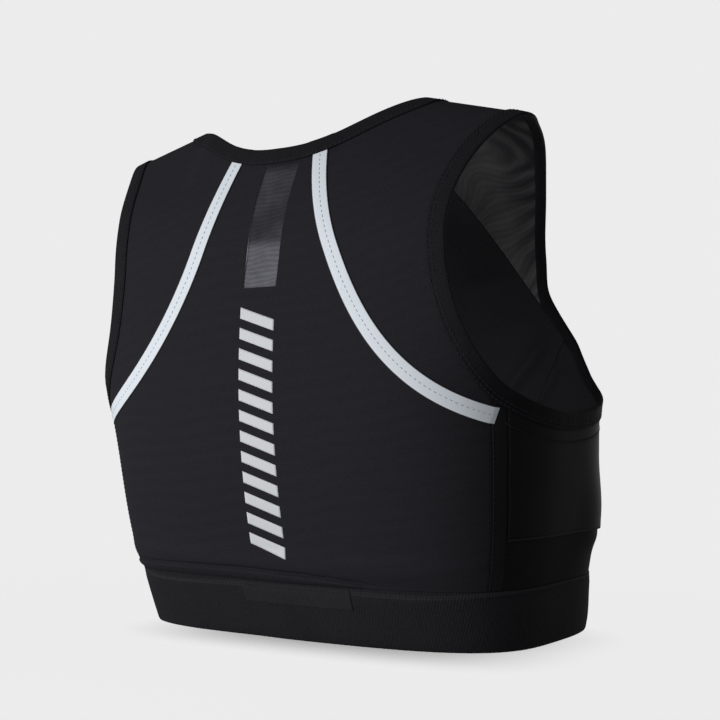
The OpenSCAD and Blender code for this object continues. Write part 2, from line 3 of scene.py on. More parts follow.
import bmesh
import bpy
import numpy as np
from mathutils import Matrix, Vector


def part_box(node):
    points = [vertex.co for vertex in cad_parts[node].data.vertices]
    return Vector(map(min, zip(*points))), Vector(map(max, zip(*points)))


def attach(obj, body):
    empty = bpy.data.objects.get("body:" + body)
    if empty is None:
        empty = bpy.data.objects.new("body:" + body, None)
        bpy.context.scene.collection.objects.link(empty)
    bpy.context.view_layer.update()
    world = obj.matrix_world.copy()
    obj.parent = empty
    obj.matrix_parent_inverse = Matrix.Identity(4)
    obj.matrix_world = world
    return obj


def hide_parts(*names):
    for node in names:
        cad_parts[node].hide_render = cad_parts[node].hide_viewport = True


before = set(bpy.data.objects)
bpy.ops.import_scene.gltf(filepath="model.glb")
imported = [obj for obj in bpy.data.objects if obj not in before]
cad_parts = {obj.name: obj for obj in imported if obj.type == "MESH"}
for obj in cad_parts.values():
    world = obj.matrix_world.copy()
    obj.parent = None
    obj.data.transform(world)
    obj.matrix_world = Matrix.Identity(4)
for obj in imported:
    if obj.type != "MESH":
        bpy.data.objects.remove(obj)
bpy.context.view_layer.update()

# Camera, fitted to the outline of the vest, the tapes and the band
VIEW_AZIMUTH = math.radians(32.35)
VIEW_ELEVATION = math.radians(-2.3)
VIEW_DISTANCE = 0.8463
VIEW_TARGET = Vector((0, 0.0048, 0.160))
LENS = 66.25
SENSOR = 36
SHIFT = (0.0074, 0.0166)


def aim(obj, place, target):
    obj.location = place
    obj.rotation_euler = (target - place).to_track_quat("-Z", "Y").to_euler()
    bpy.context.scene.collection.objects.link(obj)


camera = bpy.data.cameras.new("camera")
camera.lens, camera.sensor_width = LENS, SENSOR
camera.shift_x, camera.shift_y = SHIFT
camera.clip_start = 0.01
eye = bpy.data.objects.new("camera", camera)
away = Vector((
    -math.sin(VIEW_AZIMUTH) * math.cos(VIEW_ELEVATION),
    math.cos(VIEW_AZIMUTH) * math.cos(VIEW_ELEVATION),
    math.sin(VIEW_ELEVATION),
))
aim(eye, VIEW_TARGET + VIEW_DISTANCE * away, VIEW_TARGET)
bpy.context.scene.camera = eye
bpy.context.scene.view_settings.view_transform = "Standard"

# Sizes of the body, in millimetres, ring by ring from the hem to the shoulder ridge
MM = 0.001
RING_Z = np.array([0, 60, 140, 230, 314.5])
HALF_W = np.array([132.5, 141.5, 154, 192, 233])
BACK = np.array([70, 93.5, 105, 100.5, 92.5])
FRONT = np.array([104, 110, 88.5, 69, 70.5])
RING_POWER = 3.46
SHOULDER_Z = 225
CREST_Z = RING_Z[-1]
RIB_Z = RING_Z[1]
RIDGE_Y = 46
RIDGE_FALL = 0.26
NECK_HALF_W = 82
Y_SHIFT = 4.8
ROLL_OUT = 2
ROLL_UP = 11
BAND_H = 35

# Seams, hems and pads, by ring angle and height
RAGLAN_FOOT_Z = 131
SEAM_ANGLE, SEAM_LOW_ANGLE = 29.5, 25
STRIP_ANGLE = 3.2
COVER_ANGLE = SEAM_ANGLE - STRIP_ANGLE
FRONT_TURN_ANGLE = 28
FRONT_SEAM_ANGLE = 72
COVER_HEM_Z = 63
ARMHOLE_BOTTOM_Z = 133
SEAM_GAP, SEAM_GAP_ANGLE = 0.04, 0.04
PAD_ANGLE, PAD_Z, PAD_W, PAD_H = 56, 114, 106, 84
PAD_CROWN, PAD_RIM = 9, 2
COVER_SPAN, COVER_LIFT = 12, 2.8

# Cloth: thicknesses, offsets from the body, widths, and how much larger it lies than it was cut
FABRIC, COVER_T, TRIM, BINDING_T = 0.6, 0.6, 0.3, 0.65
TRIM_LOW, COVER_LOW = FABRIC + 0.1, FABRIC + 0.25
BINDING_W, BINDING_IN_W = 10, 7
TAPE_W, TAPE_OVER = 10, 1
PANEL_LOW = BAND_H - 6
STRETCH = 1.12


def clamp01(v):
    return np.clip(v, 0, 1)


def smooth(v):
    c = clamp01(v)
    return c * c * (3 - 2 * c)


def step(v, start, end):
    """0 before start, 1 past end, smooth between."""
    return smooth((v - start) / (end - start))


def bell(v, width):
    return np.exp(-((v / width) ** 2))


def mix(a, b, u):
    return a + (b - a) * u


def bezier(c, u):
    c, u = np.asarray(c, float), np.asarray(u, float)[..., None]
    v = 1 - u
    return v**3 * c[0] + 3 * v * v * u * c[1] + 3 * v * u * u * c[2] + u**3 * c[3]


def solve(values, at):
    """Where a list of values over 0 to 1 passes a value."""
    u = np.linspace(0, 1, len(values))
    order = slice(None) if values[-1] > values[0] else slice(None, None, -1)
    return float(np.interp(at, values[order], u[order]))


# The body surface. A place is a ring angle in degrees and a ring height
def ring(sizes, h):
    ends = np.arange(len(RING_Z))
    lo, hi = np.maximum(ends - 1, 0), np.minimum(ends + 1, len(RING_Z) - 1)
    rate = (sizes[hi] - sizes[lo]) / (RING_Z[hi] - RING_Z[lo])
    i = np.clip(np.searchsorted(RING_Z, h, side="right") - 1, 0, len(RING_Z) - 2)
    span = RING_Z[i + 1] - RING_Z[i]
    u = clamp01((h - RING_Z[i]) / span)
    v = 1 - u
    start = sizes[i] * (1 + 2 * u) * v * v + rate[i] * span * u * v * v
    return start + sizes[i + 1] * (1 + 2 * v) * u * u - rate[i + 1] * span * v * u * u


def ridge_z(x):
    return CREST_Z - RIDGE_FALL * (np.abs(x) - NECK_HALF_W)


def lean_share(h):
    return clamp01((h - SHOULDER_Z) / (CREST_Z - SHOULDER_Z))


def ring_centre(h):
    return RIDGE_Y * smooth(lean_share(h))


def ring_depth(side, h):
    return np.where(side > 0, ring(BACK, h) - ring_centre(h), ring(FRONT, h) + ring_centre(h))


def body(p):
    t, h = np.radians(p[..., 0]), p[..., 1]
    across = np.abs(np.cos(t)) / ring(HALF_W, h)
    deep = np.abs(np.sin(t)) / ring_depth(np.sin(t), h)
    r = (across**RING_POWER + deep**RING_POWER) ** (-1 / RING_POWER)
    lean = lean_share(h) * math.pi / 2
    x = r * np.cos(t)
    z = np.where(h > SHOULDER_Z, mix(SHOULDER_Z, ridge_z(x), np.sin(lean)), h)
    return np.stack([x, Y_SHIFT + ring_centre(h) + r * np.sin(t) * np.cos(lean), z], -1)


def pair(t, h):
    return np.stack(np.broadcast_arrays(np.asarray(t, float), np.asarray(h, float)), -1)


def place_at(x, h, side):
    share = np.minimum(np.abs(x) / ring(HALF_W, h), 1)
    y = ring_depth(side, h) * (1 - share**RING_POWER) ** (1 / RING_POWER)
    return pair(side * np.degrees(np.arctan2(y, x)), h)


def height_at(x, z):
    share = clamp01((z - SHOULDER_Z) / (ridge_z(x) - SHOULDER_Z))
    return np.where(z > SHOULDER_Z, mix(SHOULDER_Z, CREST_Z, np.arcsin(share) / (math.pi / 2)), z)


def place(xz, side):
    return place_at(xz[..., 0], height_at(xz[..., 0], xz[..., 1]), side)


def over_shoulder(xz, side):
    h = height_at(xz[..., 0], xz[..., 1])
    return pair(xz[..., 0], h if side > 0 else 2 * CREST_Z - h)


def place_over(xs):
    back = xs[..., 1] <= CREST_Z
    h = np.where(back, xs[..., 1], 2 * CREST_Z - xs[..., 1])
    return place_at(xs[..., 0], h, np.where(back, 1, -1))


def mirrored(p):
    return pair(np.where(p[..., 0] > 0, 180 - p[..., 0], -180 - p[..., 0]), p[..., 1])


PROBE = 0.2


def around(p):
    step = np.array([PROBE, 0])
    return (body(p + step) - body(p - step)) / (2 * PROBE)


def upwards(p):
    high, low = np.minimum(p[..., 1] + PROBE, CREST_Z), np.maximum(p[..., 1] - PROBE, 0)
    return (body(pair(p[..., 0], high)) - body(pair(p[..., 0], low))) / (high - low)[..., None]


def unit(v):
    return v / np.linalg.norm(v, axis=-1, keepdims=True)


def normal(p):
    n = np.cross(around(p), upwards(p))
    n[..., 2] *= clamp01(p[..., 1] / RIB_Z)
    return unit(n)


def roll(p):
    u = (p[..., 1] - BAND_H - ROLL_UP) / ROLL_UP
    return ROLL_OUT * np.maximum(0, 1 - u * u) ** 2 * smooth(2 * np.sin(np.radians(p[..., 0])) - 0.5)


# The left shoulder sinks, as a whole and more in front of its ridge beside the neck
SAG_WHOLE, SAG, SAG_RUN = 2.2, 3.4, 6


def sag(spot):
    x, z = spot[..., 0], spot[..., 2]
    ahead = np.maximum(0, RIDGE_Y + Y_SHIFT - spot[..., 1])
    near = step(x, 55, 70) * step(x, 118, 98) * step(z, 270, 295)
    whole = step(x, 60, 78) * step(z, 255, 290)
    return SAG * near * (1 - np.exp(-ahead / SAG_RUN)) + SAG_WHOLE * whole


# Elastic draws the cloth in or lets it out: under the right arm, and at two corners of the underband
ARM_PULL, BAND_PULLS, BAND_CORNERS = 2.0, (2.6, -2.2), np.radians([40, 212])


def drawn_in(p):
    t, h = np.radians(p[..., 0]), p[..., 1]
    arm = step(-np.cos(t), 0.7, 0.95) * step(h, 108, 140) * step(h, 168, 148)
    left = step(np.cos(t - BAND_CORNERS[0]), 0.6, 0.95) * step(h, 50, 28)
    right = step(np.cos(t - BAND_CORNERS[1]), 0.6, 0.95) * step(h, 32, 4)
    return ARM_PULL * arm + BAND_PULLS[0] * left + BAND_PULLS[1] * right


def skin(p, d):
    spot = body(p)
    return spot + normal(p) * (d + roll(p) - sag(spot) - drawn_in(p))[..., None]


def dot(a, b):
    return (a * b).sum(-1)


def stepped(p, v):
    a, b = around(p), upwards(p)
    det = dot(a, a) * dot(b, b) - dot(a, b) ** 2
    return p + pair(
        (dot(b, b) * dot(a, v) - dot(a, b) * dot(b, v)) / det,
        (dot(a, a) * dot(b, v) - dot(a, b) * dot(a, v)) / det,
    )


def folded(p):
    past = p[..., 1] > CREST_Z
    x = body(pair(p[..., 0], np.full_like(p[..., 1], CREST_Z)))[..., 0]
    other = place_at(x, np.where(past, 2 * CREST_Z - p[..., 1], p[..., 1]), np.where(p[..., 0] > 0, -1, 1))
    return np.where(past[..., None], other, p)


def walk(p, v):
    """The place reached from p by a step v along the surface."""
    q = folded(stepped(p, v))
    return folded(stepped(q, v - body(q) + body(p)))


def lengths(points, axis=0):
    """How far along each point of a run or a grid lies."""
    run = np.linalg.norm(np.diff(points, axis=axis), axis=-1)
    return np.concatenate([np.zeros_like(run.take([0], axis)), np.cumsum(run, axis=axis)], axis)


def resample(p, n):
    """n places at even lengths along a run of places."""
    along = lengths(body(p))
    at = np.linspace(0, along[-1], n)
    return pair(np.interp(at, along, p[:, 0]), np.interp(at, along, p[:, 1]))


# Edge curves, from above to below
FINE = np.linspace(0, 1, 801)
NECK_POINT = (NECK_HALF_W, CREST_Z)
NECK_BACK = [(0, 288), (40, 288), (46, 303.5), NECK_POINT]
NECK_FRONT = [(0, 286), (40, 286), (62, 306), NECK_POINT]
ARM_POINT = (139.5, ridge_z(139.5))
ARM_BACK = [ARM_POINT, (104.5, 249.5), (110, 190.5), (148.5, 136.5)]
ARM_FRONT = [ARM_POINT, (87, 285), (90.5, 204.5), (143.5, 141)]
HALF = np.linspace(0.5, 1, 801)
back_turn = 0.5 + 0.5 * solve(place(bezier(ARM_BACK, HALF), 1)[:, 0], SEAM_ANGLE)
front_turn = 0.5 + 0.5 * solve(place(bezier(ARM_FRONT, HALF), -1)[:, 0], -FRONT_TURN_ANGLE)
RAGLAN_BACK_X, RAGLAN_FRONT_X = 28, 34
raglan_back_start = solve(bezier(NECK_BACK, FINE)[:, 0], RAGLAN_BACK_X)
raglan_front_start = solve(bezier(NECK_FRONT, FINE)[:, 0], RAGLAN_FRONT_X)
side_ends = place(bezier(ARM_BACK, back_turn), 1), place(bezier(ARM_FRONT, front_turn), -1)


def seam_at(h):
    """Ring angle of the leaning side seam at a height."""
    return mix(SEAM_LOW_ANGLE, SEAM_ANGLE, (h - PANEL_LOW) / (side_ends[0][1] - PANEL_LOW))


foot_x = body(pair(seam_at(RAGLAN_FOOT_Z), RAGLAN_FOOT_Z))[0]
RAGLAN_BACK = [bezier(NECK_BACK, raglan_back_start), (44, 220.5), (71.5, 154.5), (foot_x, RAGLAN_FOOT_Z)]
RAGLAN_FRONT = [
    bezier(NECK_FRONT, raglan_front_start), (56.5, 263), (100, 196), bezier(ARM_FRONT, front_turn)
]
CURVE_STEP = 0.01


def beside(curve, u, d):
    """A curve moved sideways in its own plane: positive towards the armhole."""
    u = np.asarray(u, float)
    ahead, behind = np.minimum(1, u + CURVE_STEP), np.maximum(0, u - CURVE_STEP)
    run = unit(bezier(curve, ahead) - bezier(curve, behind))
    return bezier(curve, u) + d * pair(-run[..., 1], run[..., 0])


# The armhole's stretch under the arm
side_runs = (
    side_ends[0] - place(bezier(ARM_BACK, back_turn - CURVE_STEP), 1),
    side_ends[1] - place(bezier(ARM_FRONT, front_turn - CURVE_STEP), -1),
)
side_drop = 4 * (side_ends[0][1] + side_ends[1][1]) - 8 * ARMHOLE_BOTTOM_Z
side_pull = -side_drop / (3 * (side_runs[0][1] + side_runs[1][1]))
side_pulled = [end + side_pull * run for end, run in zip(side_ends, side_runs)]
arm_side = bezier([side_ends[0], *side_pulled, side_ends[1]], FINE)
EDGE_STEP = 2


def loop_of(*runs):
    """A closed run of places at about EDGE_STEP, from runs that join end to end."""
    return np.concatenate([resample(r, int(lengths(body(r))[-1] / EDGE_STEP) + 2)[:-1] for r in runs])


# Left and right: pull and reach of the shoulder tip, and moves of the edges by size, height and reach
TIPS = (
    (-2.5, 22, {1: [(-2.2, 180, 22)], -1: []}),
    (5.0, 19, {1: [], -1: [(2.0, 265, 22), (-3.0, 211, 13), (2.0, 178, 10)]}),
)


def arm_edge(curve, u, side, tip):
    """Points of an armhole edge as x and z, drawn out near the shoulder tip."""
    xz = bezier(curve, u)
    far = np.linalg.norm(body(place(xz, side)) - body(place(np.array(ARM_POINT), side)), axis=-1)
    out = (tip[0] * bell(far, tip[1]))[..., None] * np.array([1, -RIDGE_FALL])
    for move, z, run in tip[2][side]:
        out[..., 0] += move * bell(xz[..., 1] - z, run)
    return xz + out


def arm_round(tip):
    back = place(arm_edge(ARM_BACK, FINE * back_turn, 1, tip), 1)
    front = place(arm_edge(ARM_FRONT, FINE * front_turn, -1, tip), -1)
    return loop_of(back, arm_side, front[::-1])


arm_loop, right_loop = arm_round(TIPS[0]), mirrored(arm_round(TIPS[1]))[::-1]
neck_left_back = place(bezier(NECK_BACK, FINE), 1)
neck_left_front = place(bezier(NECK_FRONT, FINE), -1)
neck_loop = loop_of(
    neck_left_back, neck_left_front[::-1], mirrored(neck_left_front), mirrored(neck_left_back)[::-1]
)

# The upper edge of the front, and how much of it lies below the top of the slanting inner seam
FRONT_STOP = 0.8255
front_stop = int((FINE >= FRONT_STOP).sum())
front_top = np.concatenate([
    place(beside(RAGLAN_FRONT, FINE[:0:-1], -SEAM_GAP / 2), -1),
    place(bezier(NECK_FRONT, raglan_front_start * FINE[::-1]), -1),
])


# Meshes
def shell_faces(rows, cols):
    """Faces of two grids of points, the outer one first, closed round the rim."""
    count = rows * cols
    r, c = np.meshgrid(np.arange(rows - 1), np.arange(cols - 1), indexing="ij")
    corner = r * cols + c
    grid = np.stack([corner, corner + 1, corner + cols + 1, corner + cols], -1).reshape(-1, 4)
    rim = np.concatenate([
        np.arange(cols),
        np.arange(1, rows) * cols + cols - 1,
        np.arange(cols - 2, -1, -1) + (rows - 1) * cols,
        np.arange(rows - 2, 0, -1) * cols,
    ])
    after = np.roll(rim, -1)
    walls = np.stack([after, rim, rim + count, after + count], -1)
    return np.concatenate([grid, grid[:, ::-1] + count, walls])


def stacked(*grids):
    return np.concatenate([g.reshape(-1, 3) for g in grids])


def make(name, points, faces, material, uv=None, rides="vest"):
    """A piece from points in millimetres, faces and the UV places of their corners in metres."""
    mesh = bpy.data.meshes.new(name)
    mesh.from_pydata((points.reshape(-1, 3) * MM).tolist(), [], [list(f) for f in faces])
    uv = np.zeros((len(mesh.loops), 2)) if uv is None else uv
    layer = mesh.uv_layers.new(name="UVMap")
    layer.data.foreach_set("uv", np.asarray(uv, np.float32).ravel())
    shell = bmesh.new()
    shell.from_mesh(mesh)
    bmesh.ops.recalc_face_normals(shell, faces=shell.faces)
    shell.to_mesh(mesh)
    shell.free()
    mesh.shade_smooth()
    mesh.materials.append(material)
    obj = bpy.data.objects.new(name, mesh)
    bpy.context.scene.collection.objects.link(obj)
    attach(obj, rides)
    return obj


# A sheet's inner faces lie far from its outer faces in the UV map, so that a material can tell them apart
INSIDE = (10.0, 0.0)


def sheet(name, places, low, high, material, rides="vest", stretch=STRETCH):
    """A closed sheet over a grid of places, between two offsets from the body. It works out the area and size
    of its flat cut but does not use them.
    """
    inner, outer = skin(places, low), skin(places, high)
    faces = shell_faces(*places.shape[:2])
    across, up = lengths(outer, 1), lengths(outer)
    uv = np.stack([across, up], -1).reshape(-1, 2) * MM
    uv = np.concatenate([uv, uv + INSIDE])[faces]
    obj = make(name, stacked(outer, inner), faces, material, uv, rides)
    a, b = outer[1:, :-1] - outer[:-1, :-1], outer[:-1, 1:] - outer[:-1, :-1]
    area = np.linalg.norm(np.cross(a, b), axis=-1).sum() * MM * MM / stretch
    wide, tall = (run.max() * MM / math.sqrt(stretch) for run in (across[:, -1], up[-1]))
    min(area, tall * wide)
    return obj


def left_and_right(name, places, low, high, material, stretch=STRETCH):
    """A sheet on the wearer's left and its mirror image on the right."""
    low, high = (np.broadcast_to(d, places.shape[:2]) for d in (low, high))
    other = mirrored(places)[:, ::-1]
    return [
        sheet(f"{name}_left", places, low, high, material, stretch=stretch),
        sheet(f"{name}_right", other, low[:, ::-1], high[:, ::-1], material, stretch=stretch),
    ]


def hoop(name, rows, material):
    """A closed sweep of closed sections that go round: half of a section is the cloth's own width."""
    n, m = rows.shape[:2]
    closed = np.concatenate([rows, rows[:, :1]], 1)
    across = lengths(closed, 1) * MM
    along = lengths(np.concatenate([closed, closed[:1]])).mean(1) * MM
    r, c = np.meshgrid(np.arange(n), np.arange(m), indexing="ij")
    s, d = (r + 1) % n, (c + 1) % m
    faces = np.stack([r * m + c, r * m + d, s * m + d, s * m + c], -1).reshape(-1, 4)
    u = np.stack([along[r], along[r], along[r + 1], along[r + 1]], -1)
    v = np.stack([across[r, c], across[r, c + 1], across[s, c + 1], across[s, c]], -1)
    obj = make(name, rows, faces, material, np.stack([u, v], -1))
    return obj


STITCH_SIDES, STITCH_PITCH, STITCH_SHARE = 5, 3.0, 0.72
# Along a stitch: the share of its length, and its rise and size there in radii
STITCH_RINGS = (0, -0.9, 0.6), (0.22, 0.45, 1), (0.78, 0.45, 1), (1, -0.9, 0.6)


def stitches(name, runs, material, radius, rides):
    """Threads from runs of starts, ends and outward directions: each dips into the cloth at both ends."""
    start, end, out = (np.concatenate([r[k] for r in runs]) for k in range(3))
    along = unit(end - start)
    side = unit(np.cross(out, along))
    lift = np.cross(along, side)
    turn = np.linspace(0, 2 * math.pi, STITCH_SIDES, endpoint=False)[:, None]
    spokes = np.cos(turn) * side[:, None] + np.sin(turn) * lift[:, None]
    points = np.stack([
        (mix(start, end, share) + lift * rise * radius)[:, None] + radius * size * spokes
        for share, rise, size in STITCH_RINGS
    ], 1)
    count, levels = points.shape[:2]
    low = np.arange((levels - 1) * STITCH_SIDES)
    beside_it = low - low % STITCH_SIDES + (low + 1) % STITCH_SIDES
    cells = np.stack([low, beside_it, beside_it + STITCH_SIDES, low + STITCH_SIDES], -1)
    caps = np.arange(levels * STITCH_SIDES).reshape(levels, -1)[[0, -1]]
    first = np.arange(count)[:, None, None] * levels * STITCH_SIDES
    faces = [*(cells + first).reshape(-1, 4), *(caps + first).reshape(-1, STITCH_SIDES)]
    return make(name, points, faces, material, rides=rides)


def row_of(places, offset, pitch=STITCH_PITCH, share=STITCH_SHARE, closed=False):
    """Stitches end to end along a run of places: each fills a share of the pitch."""
    order = np.append(np.arange(len(places)), 0) if closed else np.arange(len(places))
    offset = np.broadcast_to(offset, len(places))
    points, out = skin(places[order], offset[order]), normal(places[order])
    along = lengths(points)
    n = max(1, int(along[-1] / pitch))
    pace = along[-1] / n
    first = pace * (np.arange(n) + (1 - share) / 2)

    def on(run, s):
        return np.stack([np.interp(s, along, run[:, k]) for k in range(3)], -1)

    return on(points, first), on(points, first + pace * share), on(out, first)


# Materials
class Value:
    """A shader value with plain arithmetic."""

    def __init__(self, tree, socket):
        self.tree, self.socket = tree, socket

    def node(self, kind, out=0, settings=None, **inputs):
        made = self.tree.nodes.new(kind)
        for key, value in (settings or {}).items():
            setattr(made, key, value)
        for key, value in inputs.items():
            target = made.inputs[int(key[1:])] if key[1:].isdigit() else made.inputs[key.replace("_", " ")]
            if isinstance(value, Value):
                self.tree.links.new(value.socket, target)
            else:
                target.default_value = value
        return Value(self.tree, made.outputs[out])

    def maths(self, kind, *others):
        inputs = {f"i{k + 1}": v for k, v in enumerate(others)}
        return self.node("ShaderNodeMath", settings={"operation": kind}, i0=self, **inputs)

    def __add__(self, other):
        return self.maths("ADD", other)

    __radd__ = __add__

    def __sub__(self, other):
        return self.maths("SUBTRACT", other)

    def __rsub__(self, other):
        return self * -1 + other

    def __mul__(self, other):
        return self.maths("MULTIPLY", other)

    __rmul__ = __mul__

    def __truediv__(self, other):
        return self.maths("DIVIDE", other)

    def parts(self):
        apart = self.node("ShaderNodeSeparateXYZ", Vector=self).socket.node
        return [Value(self.tree, s) for s in apart.outputs]

    def abs(self):
        return self.maths("ABSOLUTE")

    def ramp(self, low, high):
        """0 below low, 1 above high, smooth between."""
        return self.node(
            "ShaderNodeMapRange", settings={"interpolation_type": "SMOOTHSTEP"},
            Value=self, i1=float(low), i2=float(high), i3=0.0, i4=1.0,
        )

    def band(self, start, full, fade, end):
        """1 between full and fade, 0 before start and past end."""
        return self.ramp(start, full) * (1.0 - self.ramp(fade, end))


class Place:
    """Where a shader looks: the object's own coordinates, and along and across the cloth."""

    def __init__(self, tree):
        coords = tree.nodes.new("ShaderNodeTexCoord").outputs
        self.point = Value(tree, coords["Object"])
        self.x, self.y, self.z = self.point.parts()
        self.u, self.v, _ = Value(tree, coords["UV"]).parts()

    def noise(self, scale, detail=2.0, stretch=None):
        point = self.point
        if stretch:
            times = {"operation": "MULTIPLY"}
            point = point.node("ShaderNodeVectorMath", settings=times, i0=point, i1=stretch)
        return point.node("ShaderNodeTexNoise", Vector=point, Scale=scale, Detail=detail, Roughness=0.55)

    def wave(self, value, pitch):
        return (value * (2 * math.pi / pitch)).maths("SINE")


def finish(name, color, rough, pattern=None, specular=0.25, bump=0.0):
    """A material. Its pattern gives a tone, a height in units of bump and, where it has them, an alpha, or
    another color with the mask where it shows."""
    mat = bpy.data.materials.new(name)
    mat.use_nodes = True
    tree = mat.node_tree
    shader = tree.nodes["Principled BSDF"]
    shader.inputs["Base Color"].default_value = (*color, 1)
    shader.inputs["Roughness"].default_value = rough
    shader.inputs["Specular IOR Level"].default_value = specular
    if not pattern:
        return mat
    tone, height, *more = pattern(Place(tree))
    more = more[0] if more else {}
    tinted = tone.node("ShaderNodeVectorMath", settings={"operation": "SCALE"}, i0=color, Scale=tone)
    if "mask" in more:
        other, mask, rgba = (*more["other"], 1), more["mask"], {"data_type": "RGBA"}
        tinted = tone.node("ShaderNodeMix", out=2, settings=rgba, i0=mask, i6=tinted, i7=other)
    tree.links.new(tinted.socket, shader.inputs["Base Color"])
    lit = tone.node("ShaderNodeBump", Height=height, Strength=1.0, Distance=bump)
    tree.links.new(lit.socket, shader.inputs["Normal"])
    if "alpha" in more:
        tree.links.new(more["alpha"].socket, shader.inputs["Alpha"])
    return mat


# Patterns, in metres: the pitch of ribs and bands, and places along and across the cloth
RIB_PITCH, MOIRE_PITCH, MOIRE_SLOPE = 0.00135, 0.0085, 0.12


def ribbed(p, slope):
    """Tone and height of fine ribs across the cloth, with the faint bands that they make together."""
    level = p.z + p.x * slope
    ribs = p.wave(level, RIB_PITCH)
    bands = p.wave(level + p.x * MOIRE_SLOPE + p.noise(14.0, 1.0) * 0.016, MOIRE_PITCH)
    grain = p.noise(900.0) - 0.5
    return 1.0 + ribs * 0.06 + bands * 0.03 + grain * 0.5, ribs * 0.3 + grain


label_low, label_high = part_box("care_label")
LABEL_LEAN, LABEL_RIM, WEAVE_PITCH = 6, 0.0005, 0.0025


def back_mesh(p):
    """Ribbed mesh that lets the label behind it show, less towards its top and along a diagonal band: painted
    shade on the label.
    """
    tone, height = ribbed(p, 0.0)
    share = (p.z - label_low.z) / (label_high.z - label_low.z)
    inside = (label_high.x - LABEL_RIM) - (p.x + share * (LABEL_LEAN * MM)).abs()
    inside = inside.ramp(0, 0.0004) * share.band(0.006, 0.014, 0.965, 0.985)
    weave = p.wave(p.z + p.x * MOIRE_SLOPE + p.noise(60.0, 1.0) * 0.005, WEAVE_PITCH) * 0.024
    # Painted shade on the label: the mesh lets less of it through along a diagonal band and towards the
    # label's top
    label_shade_band = (share + p.x * 7.0).band(0.34, 0.46, 0.54, 0.7)
    seen = weave + (p.noise(120.0) - 0.5) * 0.14 + 0.62
    seen = seen - share.ramp(0.3, 0.4) * 0.162 - label_shade_band * 0.07 - share.ramp(0.9, 0.97) * 0.12
    through = inside * seen
    both_walls = (1.0 - through) * (through * through + 1.0)
    return tone / both_walls, height, {"alpha": 1.0 - through}


SHEER, STREAK_PITCH, FINE_PITCH = 0.118, 0.0085, 0.0031


def shoulder_mesh(p):
    """Ribbed mesh, sheer in front of the ridge, with streaks that grow stronger towards the armhole."""
    tone, height = ribbed(p, 0.25)
    swirl = p.noise(9.0) * 0.085 + p.z * 0.9 + p.x * 0.25
    near_arm = p.x.abs().ramp(0.078, 0.104)
    fine = p.wave(swirl + p.noise(20.0, 1.0) * 0.02, FINE_PITCH) * 0.008
    streaks = p.wave(swirl, STREAK_PITCH) * (near_arm * 0.028 + 0.007) + fine
    clouds = (p.noise(20.0, 2.0, (1.0, 1.0, 0.6)) - 0.5) * 0.15
    near_tip = near_arm * p.z.ramp(0.254, 0.272) * 0.034
    front = (p.y * -1).ramp(-0.05, -0.01)
    return tone, height, {"alpha": 1.0 - front * (streaks + clouds - near_tip + SHEER)}


def jersey(p):
    grain = p.noise(1100.0, 2.0, (1.0, 1.0, 0.35)) - 0.5
    return 1.0 + grain * 0.5 + (p.noise(24.0) - 0.5) * 0.3, grain


def hem_highlight_and_shade(p):
    """Jersey with a painted highlight along the hem's edge and a painted shade line above it."""
    tone, height = jersey(p)
    # The pale edge is a painted highlight along the turned hem, and the dark line above it is painted shade
    edge, hem_shade_line = 1.0 - p.v.ramp(0.0006, 0.0012), p.v.band(0.0008, 0.0014, 0.0018, 0.003)
    return tone * (edge * 1.1 - hem_shade_line * 0.3 + 1.0), height


# How much paler the lining's inner face is painted: painted light inside the vest
INSIDE_LIGHT_TONE = 2.3


def lining_lit_inside(p):
    """Jersey with its inner face painted paler: painted light for the light that the mesh lets through to the
    inside.
    """
    tone, height = jersey(p)
    inner = p.u.ramp(0.4 * INSIDE[0], 0.6 * INSIDE[0])
    return tone * (inner * (INSIDE_LIGHT_TONE - 1) + 1), height


def folded_edge(p):
    """Fold-over elastic, painted darker low down under the arms as painted shade."""
    lines, cross = p.wave(p.v, 0.0009), p.wave(p.u, 0.0021)
    grain = p.noise(700.0) - 0.5
    # Painted shade: the binding is darker below the armholes' lower parts
    under = p.z.ramp(0.134, 0.165) * 0.4 + 0.6
    tone = 1.0 + lines * 0.06 + cross * 0.04 + grain * 0.7
    return tone * under, lines * 0.25 + cross * 0.2 + grain


def plush(p):
    """Ribbed plush, with a painted highlight along the underband's top edge."""
    ribs = p.wave(p.u, 0.0017)
    grain = p.noise(850.0, 2.0, (1.0, 1.0, 0.5)) - 0.5
    # Painted highlight along the top edge of the underband
    edge = p.v.band(0.0324, 0.0330, 0.0350, 0.0356)
    tone = 1.0 + ribs * 0.05 + grain * 0.7 + (p.noise(30.0) - 0.5) * 0.25 + edge * 0.5
    return tone, ribs * 0.25 + grain


TAPE_EDGE = (0.03, 0.032, 0.04)


def beaded(p):
    """Glass beads, with a dark line along both edges of the tape."""
    edge = (p.u - TAPE_W * MM / 2).abs().ramp(0.0044, 0.0047)
    beads = p.noise(2600.0, 1.0) - 0.5
    tone = 1.0 + beads * 0.10 + (p.noise(40.0, 1.0) - 0.5) * 0.06
    return tone, beads, {"mask": edge, "other": TAPE_EDGE}


def satin(p):
    weft = p.wave(p.v, 0.0008)
    return 1.0 + weft * 0.03 + (p.noise(60.0) - 0.5) * 0.06, weft


def film(p):
    beads = p.noise(2200.0, 1.0) - 0.5
    return 1.0 + beads * 0.12, beads


def foamed(p):
    cells = p.noise(1500.0) - 0.5
    return 1.0 + cells * 0.3, cells


